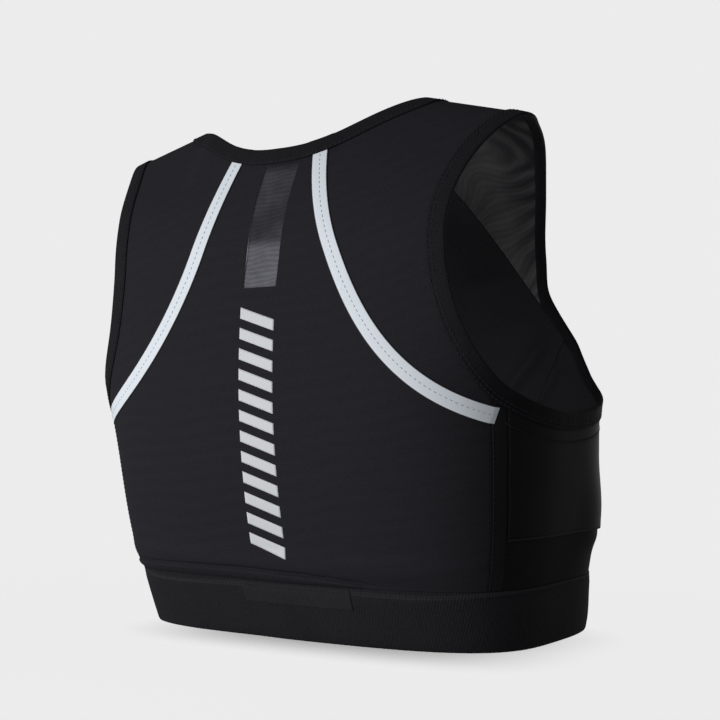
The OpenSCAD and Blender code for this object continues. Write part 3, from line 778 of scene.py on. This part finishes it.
MESH_COLOR = (0.0205, 0.0197, 0.0243)
MESH_BACK = finish("mesh_back", MESH_COLOR, 0.8, back_mesh, 0.08, 0.00012)
MESH_SHOULDER = finish("mesh_shoulder", MESH_COLOR, 0.8, shoulder_mesh, 0.08, 0.00012)
LINING = finish("lining", (0.0113, 0.011, 0.0125), 0.75, lining_lit_inside, 0.06, 0.00008)
COVER = finish("cover", (0.0106, 0.0104, 0.0117), 0.6, hem_highlight_and_shade, 0.06, 0.00006)
BINDING = finish("binding", (0.0130, 0.0124, 0.0152), 0.75, folded_edge, 0.1, 0.00014)
BAND = finish("band", (0.0192, 0.019, 0.0218), 0.85, plush, 0.06, 0.00018)
ELASTIC = finish("elastic", (0.75, 0.75, 0.74), 0.8)
TAPE = finish("tape", (0.87, 0.93, 1.0), 0.5, beaded, 0.3, 0.00003)
LABEL = finish("label", (0.80, 0.80, 0.92), 0.5, satin, 0.3, 0.00004)
PATCH = finish("patch", (0.0215, 0.0212, 0.0244), 0.8, plush, 0.1, 0.0001)
PRINT = finish("print", (0.74, 0.76, 0.80), 0.5, film, 0.3, 0.00003)
FOAM = finish("foam", (0.22, 0.23, 0.25), 0.9, foamed, 0.2, 0.0002)
STRIP = finish("strip", (0.0142, 0.0138, 0.0156), 0.75, jersey, 0.06, 0.00008)
THREAD = finish("thread", (0.034, 0.0324, 0.039), 0.7, None, 0.06)
BAND_THREAD = finish("band_thread", (0.0165, 0.0162, 0.0185), 0.8, None, 0.05)
SEAM_THREAD = finish("seam_thread", (0.005, 0.0048, 0.0056), 0.8, None, 0.03)
TAPE_THREAD = finish("tape_thread", (0.60, 0.63, 0.69), 0.5, None, 0.3)


# Grids of places
def grid_between(low, high, rows, power=1.0):
    """A grid ruled from a lower run of places to an upper one, both against the clock."""
    share = 1 - (1 - np.linspace(0, 1, rows)) ** power
    return mix(low[None], high[None], share[:, None, None])


def spread(start, end, h, n):
    return pair(np.linspace(start, end, n), h)


def both_sides(half):
    """A left half that ends in the middle, made whole and listed against the clock."""
    return np.concatenate([pair(-180 - half[:, 0], half[:, 1]), half[-2::-1]])


# Back panel, row by row up the side seam and the raglan seam
edge_h = np.concatenate([
    np.linspace(PANEL_LOW, BAND_H - 1, 6),
    np.linspace(BAND_H - 0.5, BAND_H + 12, 40),
    np.linspace(BAND_H + 13, RAGLAN_FOOT_Z - SEAM_GAP, 60),
])
seam_edge = body(pair(seam_at(edge_h) + SEAM_GAP_ANGLE, edge_h))[:, [0, 2]]
edge = np.concatenate([seam_edge, beside(RAGLAN_BACK, np.linspace(1, 0, 100), -SEAM_GAP / 2)])
dip = (NECK_BACK[0][1] - edge[-1, 1]) * np.linspace(0, 1, len(edge)) ** 6
share = np.linspace(1, -1, 121)
back_x = edge[:, :1] * share
back_z = edge[:, 1:] + dip[:, None] * (1 - share**2)
back_grid = place(pair(back_x, back_z), 1)

# The small fold that the panel makes over the underband, wide on the left and gone on the right
FOLD_X = (-72, -55, -20, 25, 60, 110)
FOLD_TALL = (0, 3.2, 5.9, 7.6, 7.4, 6.4)
FOLD_FOOT, FOLD_OUT, FOLD_IN, CREASE_W = BAND_H + 0.3, 1.5, 1.3, 1.1


def band_fold(x, z):
    tall = np.interp(x, FOLD_X, FOLD_TALL)
    up = (z - FOLD_FOOT) / np.maximum(tall, 0.4)
    bulge = FOLD_OUT * smooth(tall / 4) * np.sin(math.pi * clamp01(up)) ** 0.7
    return bulge - FOLD_IN * smooth(tall / 3) * bell(z - FOLD_FOOT - tall, CREASE_W)


back_fold = band_fold(back_x, back_z)
back = sheet("back_panel", back_grid, back_fold, back_fold + FABRIC, MESH_BACK)

# Shoulder panels, row by row from the foot of the back raglan seam over the shoulder to that of the front one
RAGLAN_ROWS, COLLAR_ROWS, POINT_ROWS = 10, 8, 2.8
EDGE_ROWS = RAGLAN_ROWS + COLLAR_ROWS
FRONT_ROWS = EDGE_ROWS + COLLAR_ROWS
FOOT_POWER = 1.45
row = np.linspace(0, 2 * EDGE_ROWS - POINT_ROWS, 220)
row = np.sort(np.append(row[np.abs(row - EDGE_ROWS) > 0.08], EDGE_ROWS))
on_back = row <= EDGE_ROWS


def edge_share(k):
    return mix(k / EDGE_ROWS, smooth(k / EDGE_ROWS), 0.6)


def collar(k, start):
    return mix(1, start, (1 - k / COLLAR_ROWS) ** 2)


back_raglan, back_collar = row[row < RAGLAN_ROWS], row[on_back & (row >= RAGLAN_ROWS)]
front_collar, front_raglan = row[~on_back & (row < FRONT_ROWS)], row[row >= FRONT_ROWS]
foot_share = 1 - (1 - (front_raglan - FRONT_ROWS) / RAGLAN_ROWS) ** FOOT_POWER
shoulder_inner = np.concatenate([
    over_shoulder(beside(RAGLAN_BACK, 1 - back_raglan / RAGLAN_ROWS, SEAM_GAP / 2), 1),
    over_shoulder(bezier(NECK_BACK, collar(back_collar - RAGLAN_ROWS, raglan_back_start)), 1),
    over_shoulder(bezier(NECK_FRONT, collar(FRONT_ROWS - front_collar, raglan_front_start)), -1),
    over_shoulder(beside(RAGLAN_FRONT, foot_share, SEAM_GAP / 2), -1),
])


def shoulder_grid(tip):
    to_tip, past_tip = edge_share(EDGE_ROWS - row[on_back]), edge_share(row[~on_back] - EDGE_ROWS)
    outer = np.concatenate([
        over_shoulder(arm_edge(ARM_BACK, back_turn * to_tip, 1, tip), 1),
        over_shoulder(arm_edge(ARM_FRONT, front_turn * past_tip, -1, tip), -1),
    ])
    return place_over(mix(outer[:, None], shoulder_inner[:, None], np.linspace(0, 1, 49)[None, :, None]))


shoulder_grids = ("left", shoulder_grid(TIPS[0])), ("right", mirrored(shoulder_grid(TIPS[1]))[:, ::-1])
shoulders = [
    sheet(f"shoulder_panel_{side}", grid, 0, FABRIC, MESH_SHOULDER)
    for side, grid in shoulder_grids
]


# Lining of the sides and the front
def reach(spot, edge):
    """How far points lie from an edge or its mirror image."""
    run = body(resample(edge, 160))
    run = np.concatenate([run, run * (-1, 1, 1)])
    return np.linalg.norm(spot[..., None, :] - run, axis=-1).min(-1)


# Soft folds that run in from the armholes: two ends as x and z, a width and a depth each
DRAG_FOLDS = (
    (110, 190, 46, 128, 5, 4.5),
    (114, 170, 78, 128, 4, 2.5),
    (88, 232, 36, 212, 7, 1.6),
    (100, 205, 30, 170, 9, 1.6),
)
FOLD_ENDS, FOLD_CLEAR = 0.3, 22


def drag_folds(p):
    """Offset of the folds, inwards only and fading towards the seams."""
    spot = body(p)
    x, z = np.abs(spot[..., 0]), spot[..., 2]
    total = np.zeros(x.shape)
    for x0, z0, x1, z1, width, depth in DRAG_FOLDS:
        run = np.array([x1 - x0, z1 - z0])
        size = np.linalg.norm(run)
        along = ((x - x0) * run[0] + (z - z0) * run[1]) / size**2
        off = ((x - x0) * run[1] - (z - z0) * run[0]) / size
        total = total - depth * smooth(along / FOLD_ENDS) * smooth((1 - along) / FOLD_ENDS) * bell(off, width)
    return total * smooth(reach(spot, np.concatenate([arm_side, front_top])) / FOLD_CLEAR)


def hang(p):
    """How far the cover hangs clear of the lining in front."""
    lifted = smooth(-3 * np.sin(np.radians(p[..., 0])) - 0.3)
    return COVER_LIFT * lifted * step(p[..., 1], PAD_Z, PAD_Z - PAD_H / 2)


SWELL, SWELL_Z, SWELL_RUN = 0.8, COVER_HEM_Z - 4, 8
ROWS_POWER = 1.5


def lining_base(p):
    """Offset of the lining: its folds, and a swell behind the cover's hem."""
    return drag_folds(p) + SWELL * hang(p) * bell(p[..., 1] - SWELL_Z, SWELL_RUN)


side_top = resample(np.concatenate([arm_side, front_top[:front_stop]]), 120)
side_top[0, 0] -= SEAM_GAP_ANGLE
side_top[-1, 0] += SEAM_GAP_ANGLE
side_low = spread(SEAM_LOW_ANGLE - SEAM_GAP_ANGLE, -FRONT_SEAM_ANGLE + SEAM_GAP_ANGLE, PANEL_LOW, 120)
side_left = grid_between(side_low[::-1], side_top[::-1], 70)
side_in = lining_base(side_left)
sides = left_and_right("side_panel", side_left, side_in, side_in + FABRIC, LINING)
lining_top = resample(front_top[front_stop - 1:], 120)
lining_top[0, 0] -= SEAM_GAP_ANGLE
lining_low = spread(-FRONT_SEAM_ANGLE - SEAM_GAP_ANGLE, -90, PANEL_LOW, 120)
lining_grid = grid_between(both_sides(lining_low), both_sides(lining_top), 110, ROWS_POWER)
lining_in = lining_base(lining_grid)
lining = sheet("front_lining", lining_grid, lining_in, lining_in + FABRIC, LINING)

# Chest cover over the pads
PAD_ROOM = 0.6
pad_degree = float(np.linalg.norm(around(pair(-PAD_ANGLE, PAD_Z))))


def pad_reach(p, margin):
    """How far places lie from the middle of the pad on their side: 1 at its edge, moved out by a margin."""
    t = np.where(p[..., 0] < -90, -180 - p[..., 0], p[..., 0])
    across, up = (t + PAD_ANGLE) * pad_degree, p[..., 1] - PAD_Z
    return np.hypot(across / (PAD_W / 2 + margin), up / (PAD_H / 2 + margin))


def dome(far):
    return np.maximum(0, 1 - far * far)


def cover_low(p):
    """Offset of the cover's inner face."""
    return COVER_LOW + hang(p) + (PAD_CROWN + PAD_ROOM) * dome(pad_reach(p, COVER_SPAN)) ** 1.3


# The cover's grid, the row of stitches that dents it below the armhole, and its turned hem
COVER_ROWS, COVER_COLS = 80, 210
UNDER_ROW, UNDER_DEPTH, UNDER_W = 17, 0.35, 0.9
HEM_THICKER, HEM_ROWS = 0.3, 1.6
arm_part = arm_side[arm_side[:, 0] < COVER_ANGLE]
cover_top = resample(np.concatenate([arm_part, front_top]), COVER_COLS)
cover_edge = spread(seam_at(COVER_HEM_Z) - STRIP_ANGLE, -90, COVER_HEM_Z, COVER_COLS)
cover_grid = grid_between(both_sides(cover_edge), both_sides(cover_top), COVER_ROWS, ROWS_POWER)
under = bell(reach(body(cover_grid), arm_side) - UNDER_ROW, UNDER_W)
cover_base = cover_low(cover_grid) - UNDER_DEPTH * under
turned = bell(np.linspace(0, COVER_ROWS, COVER_ROWS)[:, None], HEM_ROWS)
cover_out = cover_base + COVER_T * (1 + HEM_THICKER * turned)
cover = sheet("chest_cover", cover_grid, cover_base, cover_out, COVER)

# Foam pads between the lining and the cover
PAD_GRID = 40


def pad(name, side):
    u, v = np.meshgrid(np.linspace(-1, 1, PAD_GRID), np.linspace(-1, 1, PAD_GRID))
    p = pair(
        -PAD_ANGLE + u * np.sqrt(1 - v * v / 2) * PAD_W / 2 / pad_degree,
        PAD_Z + v * np.sqrt(1 - u * u / 2) * PAD_H / 2,
    )
    crown = mix(PAD_RIM, PAD_CROWN, dome(pad_reach(p, 0)) ** 1.2) - 1
    if side < 0:
        p, crown = mirrored(p)[:, ::-1], crown[:, ::-1]
    top, base = skin(p, COVER_LOW + crown), skin(p, COVER_LOW)
    obj = make(name, stacked(top, base), shell_faces(PAD_GRID, PAD_GRID), FOAM)
    return obj


pads = [pad("chest_pad_left", 1), pad("chest_pad_right", -1)]

# Underband: a folded casing and the elastic inside it
RING_STEPS = 360
BAND_IN, BAND_T, BAND_FULL = 0.75, 1.3, 0.35
BAND_PINCH, PINCH_Z = 0.95, 28


def hem_ring(section):
    angles = np.linspace(0, 360, RING_STEPS, endpoint=False)
    return np.stack([skin(pair(angles, h), d) for d, h in section], 1)


def band_out(h):
    """Offset of the underband's outer face, fuller in the middle and pinched to the panels at the top."""
    full = BAND_FULL * np.sin(math.pi * (h / BAND_H) ** 0.8)
    return BAND_IN + BAND_T + full - BAND_PINCH * step(h, PINCH_Z, BAND_H)


def band_section():
    """Offsets and heights round the casing: its outer leg, its inside, its inner leg and the hem."""
    low, high = BAND_IN, BAND_H
    heights = np.linspace(1.2, high - 0.5, 14)
    outer_leg = list(zip(band_out(heights), heights))
    top_edge = [(low + 0.3, high), (low + 0.1, high)]
    inside = [(low, h) for h in heights[::-1]]
    fold_in = [(low - 0.2, 1.0), (-low + 0.5, 1.0)]
    back_leg = [(-0.25, h) for h in heights]
    back_top = [(-0.55, high), (-1.3, high)]
    back_out = [(-1.55, h) for h in heights[::-1]]
    hem = [(-1.2, 0.3), (-0.5, 0.0), (low + BAND_T - 0.9, 0.0), (low + BAND_T - 0.2, 0.3)]
    return outer_leg + top_edge + inside + fold_in + back_leg + back_top + back_out + hem


casing = hoop("underband_casing", hem_ring(band_section()), BAND)
elastic_section = [(0.45, 1.6), (0.45, 15), (0.45, 28), (0.0, 28), (0.0, 15), (0.0, 1.6)]
elastic = hoop("underband_elastic", hem_ring(elastic_section), ELASTIC)

# Bindings folded over the neckline and the armholes: widths on the front, places along a leg, and puckers
NECK_FRONT_W, NECK_FRONT_IN_W, ARM_FRONT_W = 8, 3.5, 7
LEG = np.array([0.0, 0.12, 0.3, 0.5, 0.7, 0.86, 0.96])
LEG_GAP, LEG_IN, LEG_CROWN, FOLD_DEPTH = 0.1, -0.15, 0.12, 0.95
PUCKERS = (0.10, 6.3, 0.0), (0.07, 17.0, 1.0)


def binding_rows(loop, base, outer, inner):
    """Sections round a loop, on cloth of height base, with legs of two widths, and the directions inwards."""
    n = len(loop)
    run = unit(body(np.roll(loop, -1, 0)) - body(np.roll(loop, 1, 0)))
    inwards = np.cross(normal(loop), run)
    along = 2 * math.pi * EDGE_STEP * np.arange(n)
    pucker = sum(size * np.sin(along / pitch + turn) for size, pitch, turn in PUCKERS)
    low, top, under = base + LEG_GAP, base + LEG_GAP + BINDING_T, LEG_IN - BINDING_T
    middle, half = (top + under) / 2, (top - under) / 2
    section = [(u * outer, low) for u in LEG[::-1]]
    section += [(-0.25, mix(low, LEG_IN, 0.5))]
    section += [(u * inner, LEG_IN) for u in LEG]
    section += [(inner, LEG_IN - 0.3 * BINDING_T), (inner - 0.1, LEG_IN - 0.8 * BINDING_T)]
    section += [(u * inner, under) for u in LEG[::-1]]
    turns = np.radians(range(30, 180, 30))
    section += [(-FOLD_DEPTH * math.sin(t), middle - half * math.cos(t)) for t in turns]
    section += [(u * outer, top + LEG_CROWN * math.sin(math.pi * u) + pucker * (0.4 + 0.6 * u)) for u in LEG]
    section += [(outer - 0.1, low + 0.8 * BINDING_T), (outer, low + 0.3 * BINDING_T)]
    rows = []
    for u, d in section:
        u = np.broadcast_to(u, n)[:, None]
        rows.append(skin(walk(loop, inwards * u), d) if u.max() > 0 else skin(loop, d) + inwards * u)
    return np.stack(rows, 1), inwards


def cover_share(loop):
    """1 where the cover lies under the binding, 0 where there is only a panel."""
    t = np.where(np.abs(loop[:, 0]) > 90, mirrored(loop)[:, 0], loop[:, 0])
    low = smooth((200 - loop[:, 1]) / 12 + 0.5 * (np.abs(t) < FRONT_TURN_ANGLE))
    return low * step(t, COVER_ANGLE + 1, COVER_ANGLE - 3)


def front_part(loop):
    """1 on the front of the shoulders and the neck, 0 on the back and under the arms."""
    spot = body(loop)
    return step(spot[:, 1], RIDGE_Y, RIDGE_Y - 40) * step(spot[:, 2], 190, 220)


def arm_base(loop):
    return FABRIC + (COVER_LOW + COVER_T - FABRIC) * cover_share(loop)


neck_x = np.abs(body(neck_loop)[:, 0])
over_tape = (neck_loop[:, 0] > 0) * step(np.abs(neck_x - RAGLAN_BACK_X), 8.5, 6)
over_cover = (neck_loop[:, 0] < 0) * step(neck_x, RAGLAN_FRONT_X + 5, RAGLAN_FRONT_X)
neck_base = FABRIC + 0.05 + (TRIM + 0.1) * over_tape + (COVER_LOW + COVER_T - FABRIC) * over_cover
neck_w = mix(BINDING_W, NECK_FRONT_W, front_part(neck_loop))
neck_in_w = mix(BINDING_IN_W, NECK_FRONT_IN_W, front_part(neck_loop))
neck_rows, neck_in = binding_rows(neck_loop, neck_base, neck_w, neck_in_w)
neck_binding = hoop("neck_binding", neck_rows, BINDING)
arm_bindings, arm_edges = [], {}
for side, loop in (("left", arm_loop), ("right", right_loop)):
    width = mix(BINDING_W, ARM_FRONT_W, front_part(loop))
    rows, inwards = binding_rows(loop, arm_base(loop), width, width / 2)
    arm_bindings.append(hoop(f"armhole_binding_{side}", rows, BINDING))
    arm_edges[side] = loop, inwards, width

# Reflective tapes over the back raglan seams
TAPE_START, TAPE_CROWN = 4, 0.16
TAPE_END = seam_at(RAGLAN_FOOT_Z) - TAPE_OVER


def tape_places(n, across):
    """Places along the left tape, at shares of its half width."""
    start = TAPE_START / (3 * np.linalg.norm(np.subtract(RAGLAN_BACK[1], RAGLAN_BACK[0])))
    rows = []
    for s in across:
        p = place(beside(RAGLAN_BACK, np.linspace(start, 1, n), s * TAPE_W / 2), 1)
        p[-1, 0] = TAPE_END + (1 - s) / 2
        rows.append(p)
    return np.stack(rows, 1)[::-1]


tape_across = np.array([1, 0.97, 0.9, 0.6, 0.3, 0, -0.3, -0.6, -0.9, -0.97, -1])
tape_left = tape_places(160, tape_across)
tape_top = TRIM_LOW + TRIM + TAPE_CROWN * (1 - np.abs(tape_across) ** 6)
tapes = left_and_right("reflective_tape", tape_left, TRIM_LOW - 0.05, tape_top, TAPE, 1.0)

# Strips over the side seams
STRIP_LOW, STRIP_TOP, STRIP_LAP = BAND_H + 0.3, RAGLAN_FOOT_Z + TAPE_W / 2, 0.5
STRIP_COLS, STRIP_EASE = 11, 0.95


def strip_row(h):
    return spread(seam_at(h) - STRIP_ANGLE + 0.1, seam_at(h) + STRIP_LAP, h, STRIP_COLS)


strip_left = grid_between(strip_row(STRIP_LOW), strip_row(STRIP_TOP), 70)
strip_top = FABRIC + 0.24 + 0.08 * (1 - np.linspace(-1, 1, STRIP_COLS) ** 4)
strips = left_and_right("seam_strip", strip_left, FABRIC + 0.02, strip_top, STRIP, STRIP_EASE)

# Care label inside the back neck, in the place that the frame gives it
LABEL_T, LABEL_TURN = 0.25, 3.0
label_box = [np.array(v) / MM for v in (label_low, label_high)]
label_top_h = float(height_at(-LABEL_LEAN, label_box[1][2] + 0.2))
label_low_h = float(height_at(0.0, label_box[0][2]))
label_h = np.linspace(label_low_h, label_top_h, 70)[:, None]
label_x = np.linspace(label_box[1][0], -label_box[1][0], 25)[None]
label_lean = -LABEL_LEAN * (label_h - label_low_h) / (label_top_h - label_low_h)
label_p = place_at(label_x + label_lean, label_h, 1)
label_out = -0.2 - 0.2 * np.sin(label_h / 11.0) ** 2 * np.cos(label_x / 12.5)
label_out = label_out - 0.3 * smooth(label_low_h + LABEL_TURN - label_h)
label = sheet(
    "care_label", label_p, label_out - LABEL_T, label_out, LABEL, "label", 1.0
)

# Patch on the underband and printed bars down the back
PATCH_W, PATCH_H, PATCH_Z, PATCH_X, PATCH_T = 76, 12, 28, 12.5, 0.1
patch_x = np.linspace(-PATCH_X + PATCH_W / 2, -PATCH_X - PATCH_W / 2, 60)
patch_z = np.linspace(PATCH_Z - PATCH_H / 2, PATCH_Z + PATCH_H / 2, 16)
patch_p = place(pair(patch_x, patch_z[:, None]), 1)
patch_low, patch_high = (band_out(patch_z)[:, None] + d for d in (-PATCH_T, PATCH_T))
patch = sheet("band_patch", patch_p, patch_low, patch_high, PATCH, stretch=1.0)

PRINT_BARS, PRINT_W, PRINT_RISE, PRINT_LOW_Z = 12, 24, 8, 57
BAR_H, BAR_PITCH, BAR_GRID = 6.5, 11.8, (7, 21)
bar_rise, bar_lean = np.linspace(-0.5, 0.5, BAR_GRID[0])[:, None], np.linspace(0.5, -0.5, BAR_GRID[1])[None]
bar_points, bar_faces = [], []
for bar in range(PRINT_BARS):
    z = PRINT_LOW_Z + bar * BAR_PITCH + bar_rise * BAR_H + bar_lean * PRINT_RISE
    p = place(pair(bar_lean * PRINT_W, z), 1)
    bar_faces.append(shell_faces(*BAR_GRID) + sum(len(q) for q in bar_points))
    bar_points.append(stacked(*(skin(p, FABRIC + d) for d in (0.22, 0.02))))
bars = make("back_print", stacked(*bar_points), np.concatenate(bar_faces), PRINT)

# Threads: rows in from the bindings' edges, how far they lie above the cloth, and their radius
NECK_ROW, ARM_ROWS, THREAD_UP, THREAD_R = 1.3, (1.4, 3.6), 0.1, 0.22


def binding_row(loop, base, inwards, u):
    return row_of(walk(loop, inwards * u[:, None]), base + LEG_GAP + BINDING_T + THREAD_UP, closed=True)


def arm_rows(loop, inwards, width):
    """Rows on an armhole binding, and one on the cover below it."""
    bottom = cover_share(loop) > 0.9
    first = int(np.argmax(bottom & ~np.roll(bottom, 1)))
    keep = np.roll(np.arange(len(loop)), -first)[:bottom.sum()]
    below = walk(loop[keep], inwards[keep] * UNDER_ROW)
    rows = [binding_row(loop, arm_base(loop), inwards, width - u) for u in ARM_ROWS]
    return [*rows, row_of(below, cover_low(below) + COVER_T + THREAD_UP)]


tape_line = tape_places(200, [0.0])[:, 0]
strip_h = np.linspace(STRIP_LOW, RAGLAN_FOOT_Z - TAPE_W / 2, 120)
strip_lines = [pair(seam_at(strip_h) + t, strip_h) for t in (0.35 - STRIP_ANGLE, STRIP_LAP - 0.3)]
strip_lines += [mirrored(p) for p in strip_lines]
band_row_z = BAND_H - 3.0
band_line = pair(np.linspace(0, 360, 720, endpoint=False), band_row_z)
front_seam = place(beside(RAGLAN_FRONT, np.linspace(0.06, 0.94, 200), -2.2), -1)
label_line = place_at(np.linspace(11, -11, 30), label_top_h - 2.0, 1)
neck_row = binding_row(neck_loop, neck_base, neck_in, neck_w - NECK_ROW)
tape_rows = [row_of(p, TRIM_LOW + TRIM + 0.2, 3.2, 0.6) for p in (tape_line, mirrored(tape_line))]
strip_rows = [row_of(p, FABRIC + 0.22, 2.8, 0.9) for p in strip_lines]
band_row = row_of(band_line, band_out(band_row_z), closed=True)
front_rows = [row_of(p, cover_low(p) + COVER_T + 0.05) for p in (front_seam, mirrored(front_seam))]
threads = [
    ("neck_stitches", [neck_row], THREAD, THREAD_R, "binding"),
    ("armhole_stitches_left", arm_rows(*arm_edges["left"]), THREAD, THREAD_R, "binding"),
    ("armhole_stitches_right", arm_rows(*arm_edges["right"]), THREAD, THREAD_R, "binding"),
    ("tape_stitches", tape_rows, TAPE_THREAD, 0.2, "tape"),
    ("seam_stitches", strip_rows, SEAM_THREAD, 0.18, "binding"),
    ("band_stitches", [band_row], BAND_THREAD, 0.14, "band"),
    ("front_stitches", front_rows, THREAD, THREAD_R, "cover"),
    ("label_stitches", [row_of(label_line, -1.6, 2.5)], TAPE_THREAD, 0.18, "label"),
]
for name, runs, material, radius, slot in threads:
    rides = "label" if slot == "label" else "vest"
    stitches(name, runs, material, radius, rides)

# What each piece stands for: the node of its own name
slots = {
    "mesh": [back, *shoulders],
    "lining": [*sides, lining],
    "cover": [cover],
    "foam": pads,
    "band": [casing],
    "elastic": [elastic],
    "binding": [neck_binding, *arm_bindings, *strips],
    "tape": tapes,
    "label": [label],
    "patch": [patch],
    "print": [bars],
}
for slot, pieces in slots.items():
    for obj in pieces:
        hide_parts(obj.name.split(".")[0])

# Floor: how much of its grey shows over the backdrop, under the vest and away from it, and where it fades;
# the grey that shows more near the hem is partly a painted contact shadow, over the real shadows that the
# floor takes
FLOOR_COLOR, FLOOR_END = 0.64, 0.62
FLOOR_NEAR, FLOOR_FAR = 0.58, 0.01
FLOOR_SHADE = (-0.0246, 0.0389)
SHADE_START, SHADE_END = -0.62, 0.2
FADE_START, FADE_END = 1.0, 3.0
BACKDROP, AMBIENT = 0.839, 0.2


def grey(value):
    return (value, value, value, 1)


def floor_material():
    mat = bpy.data.materials.new("floor")
    mat.use_nodes = True
    tree = mat.node_tree
    tree.nodes.clear()
    p = Place(tree)
    across = ((p.x - FLOOR_SHADE[0]) / (HALF_W[0] * MM)).abs()
    y = p.y - (Y_SHIFT * MM + FLOOR_SHADE[1])
    depth = (y / (BACK[0] * MM)).maths("MAXIMUM", y / (-FRONT[0] * MM))
    ring = across.maths("POWER", RING_POWER) + depth.maths("POWER", RING_POWER)
    beyond = ring.maths("POWER", 1 / RING_POWER) - 1
    # The floor's grey share rises near the hem: a painted contact shadow on top of the real one
    own = beyond.ramp(SHADE_START, SHADE_END) * (FLOOR_NEAR - FLOOR_FAR) * -1 + FLOOR_NEAR
    through = 1.0 - own * (1.0 - beyond.ramp(FADE_START, FADE_END))
    flat = p.point.node("ShaderNodeBsdfDiffuse", Color=grey(FLOOR_COLOR))
    clear = p.point.node("ShaderNodeBsdfTransparent")
    both = p.point.node("ShaderNodeMixShader", i0=through, i1=flat, i2=clear)
    out = tree.nodes.new("ShaderNodeOutputMaterial")
    tree.links.new(both.socket, out.inputs["Surface"])
    return mat


bpy.ops.mesh.primitive_circle_add(vertices=96, radius=FLOOR_END, fill_type="NGON", location=(0, 0, 0))
floor = bpy.context.object
floor.name = "floor"
floor.data.materials.append(floor_material())

world = bpy.data.worlds.new("studio")
bpy.context.scene.world = world
world.use_nodes = True
tree = world.node_tree
tree.nodes.clear()
rays = tree.nodes.new("ShaderNodeLightPath")
seen = Value(tree, rays.outputs["Is Camera Ray"]) + Value(tree, rays.outputs["Is Transmission Ray"])
ambient = seen.node("ShaderNodeBackground", Color=grey(AMBIENT))
backdrop = seen.node("ShaderNodeBackground", Color=grey(BACKDROP))
both = seen.node("ShaderNodeMixShader", i0=seen.maths("MINIMUM", 1.0), i1=ambient, i2=backdrop)
out = tree.nodes.new("ShaderNodeOutputWorld")
tree.links.new(both.socket, out.inputs["Surface"])

LAMP_TARGET = Vector((0, 0, 0.15))


def lamp(name, place, size, power):
    data = bpy.data.lights.new(name, "AREA")
    data.shape, data.size, data.energy = "DISK", size, power
    aim(bpy.data.objects.new(name, data), Vector(place), LAMP_TARGET)


lamp("key", (0.8, 1.4, 0.2), 1.1, 17)
lamp("rim", (-0.1, -1.6, 0.15), 0.6, 1.7)
lamp("front", (0.7, -1.3, 0.45), 0.8, 9)

# The light that the mesh lets through to the inside of the front
glow = bpy.data.lights.new("inside", "POINT")
glow.shadow_soft_size, glow.energy = 0.05, 0.1
aim(bpy.data.objects.new("inside", glow), Vector((-0.05, 0.01, 0.13)), LAMP_TARGET)
bpy.data.objects["inside"].visible_camera = False
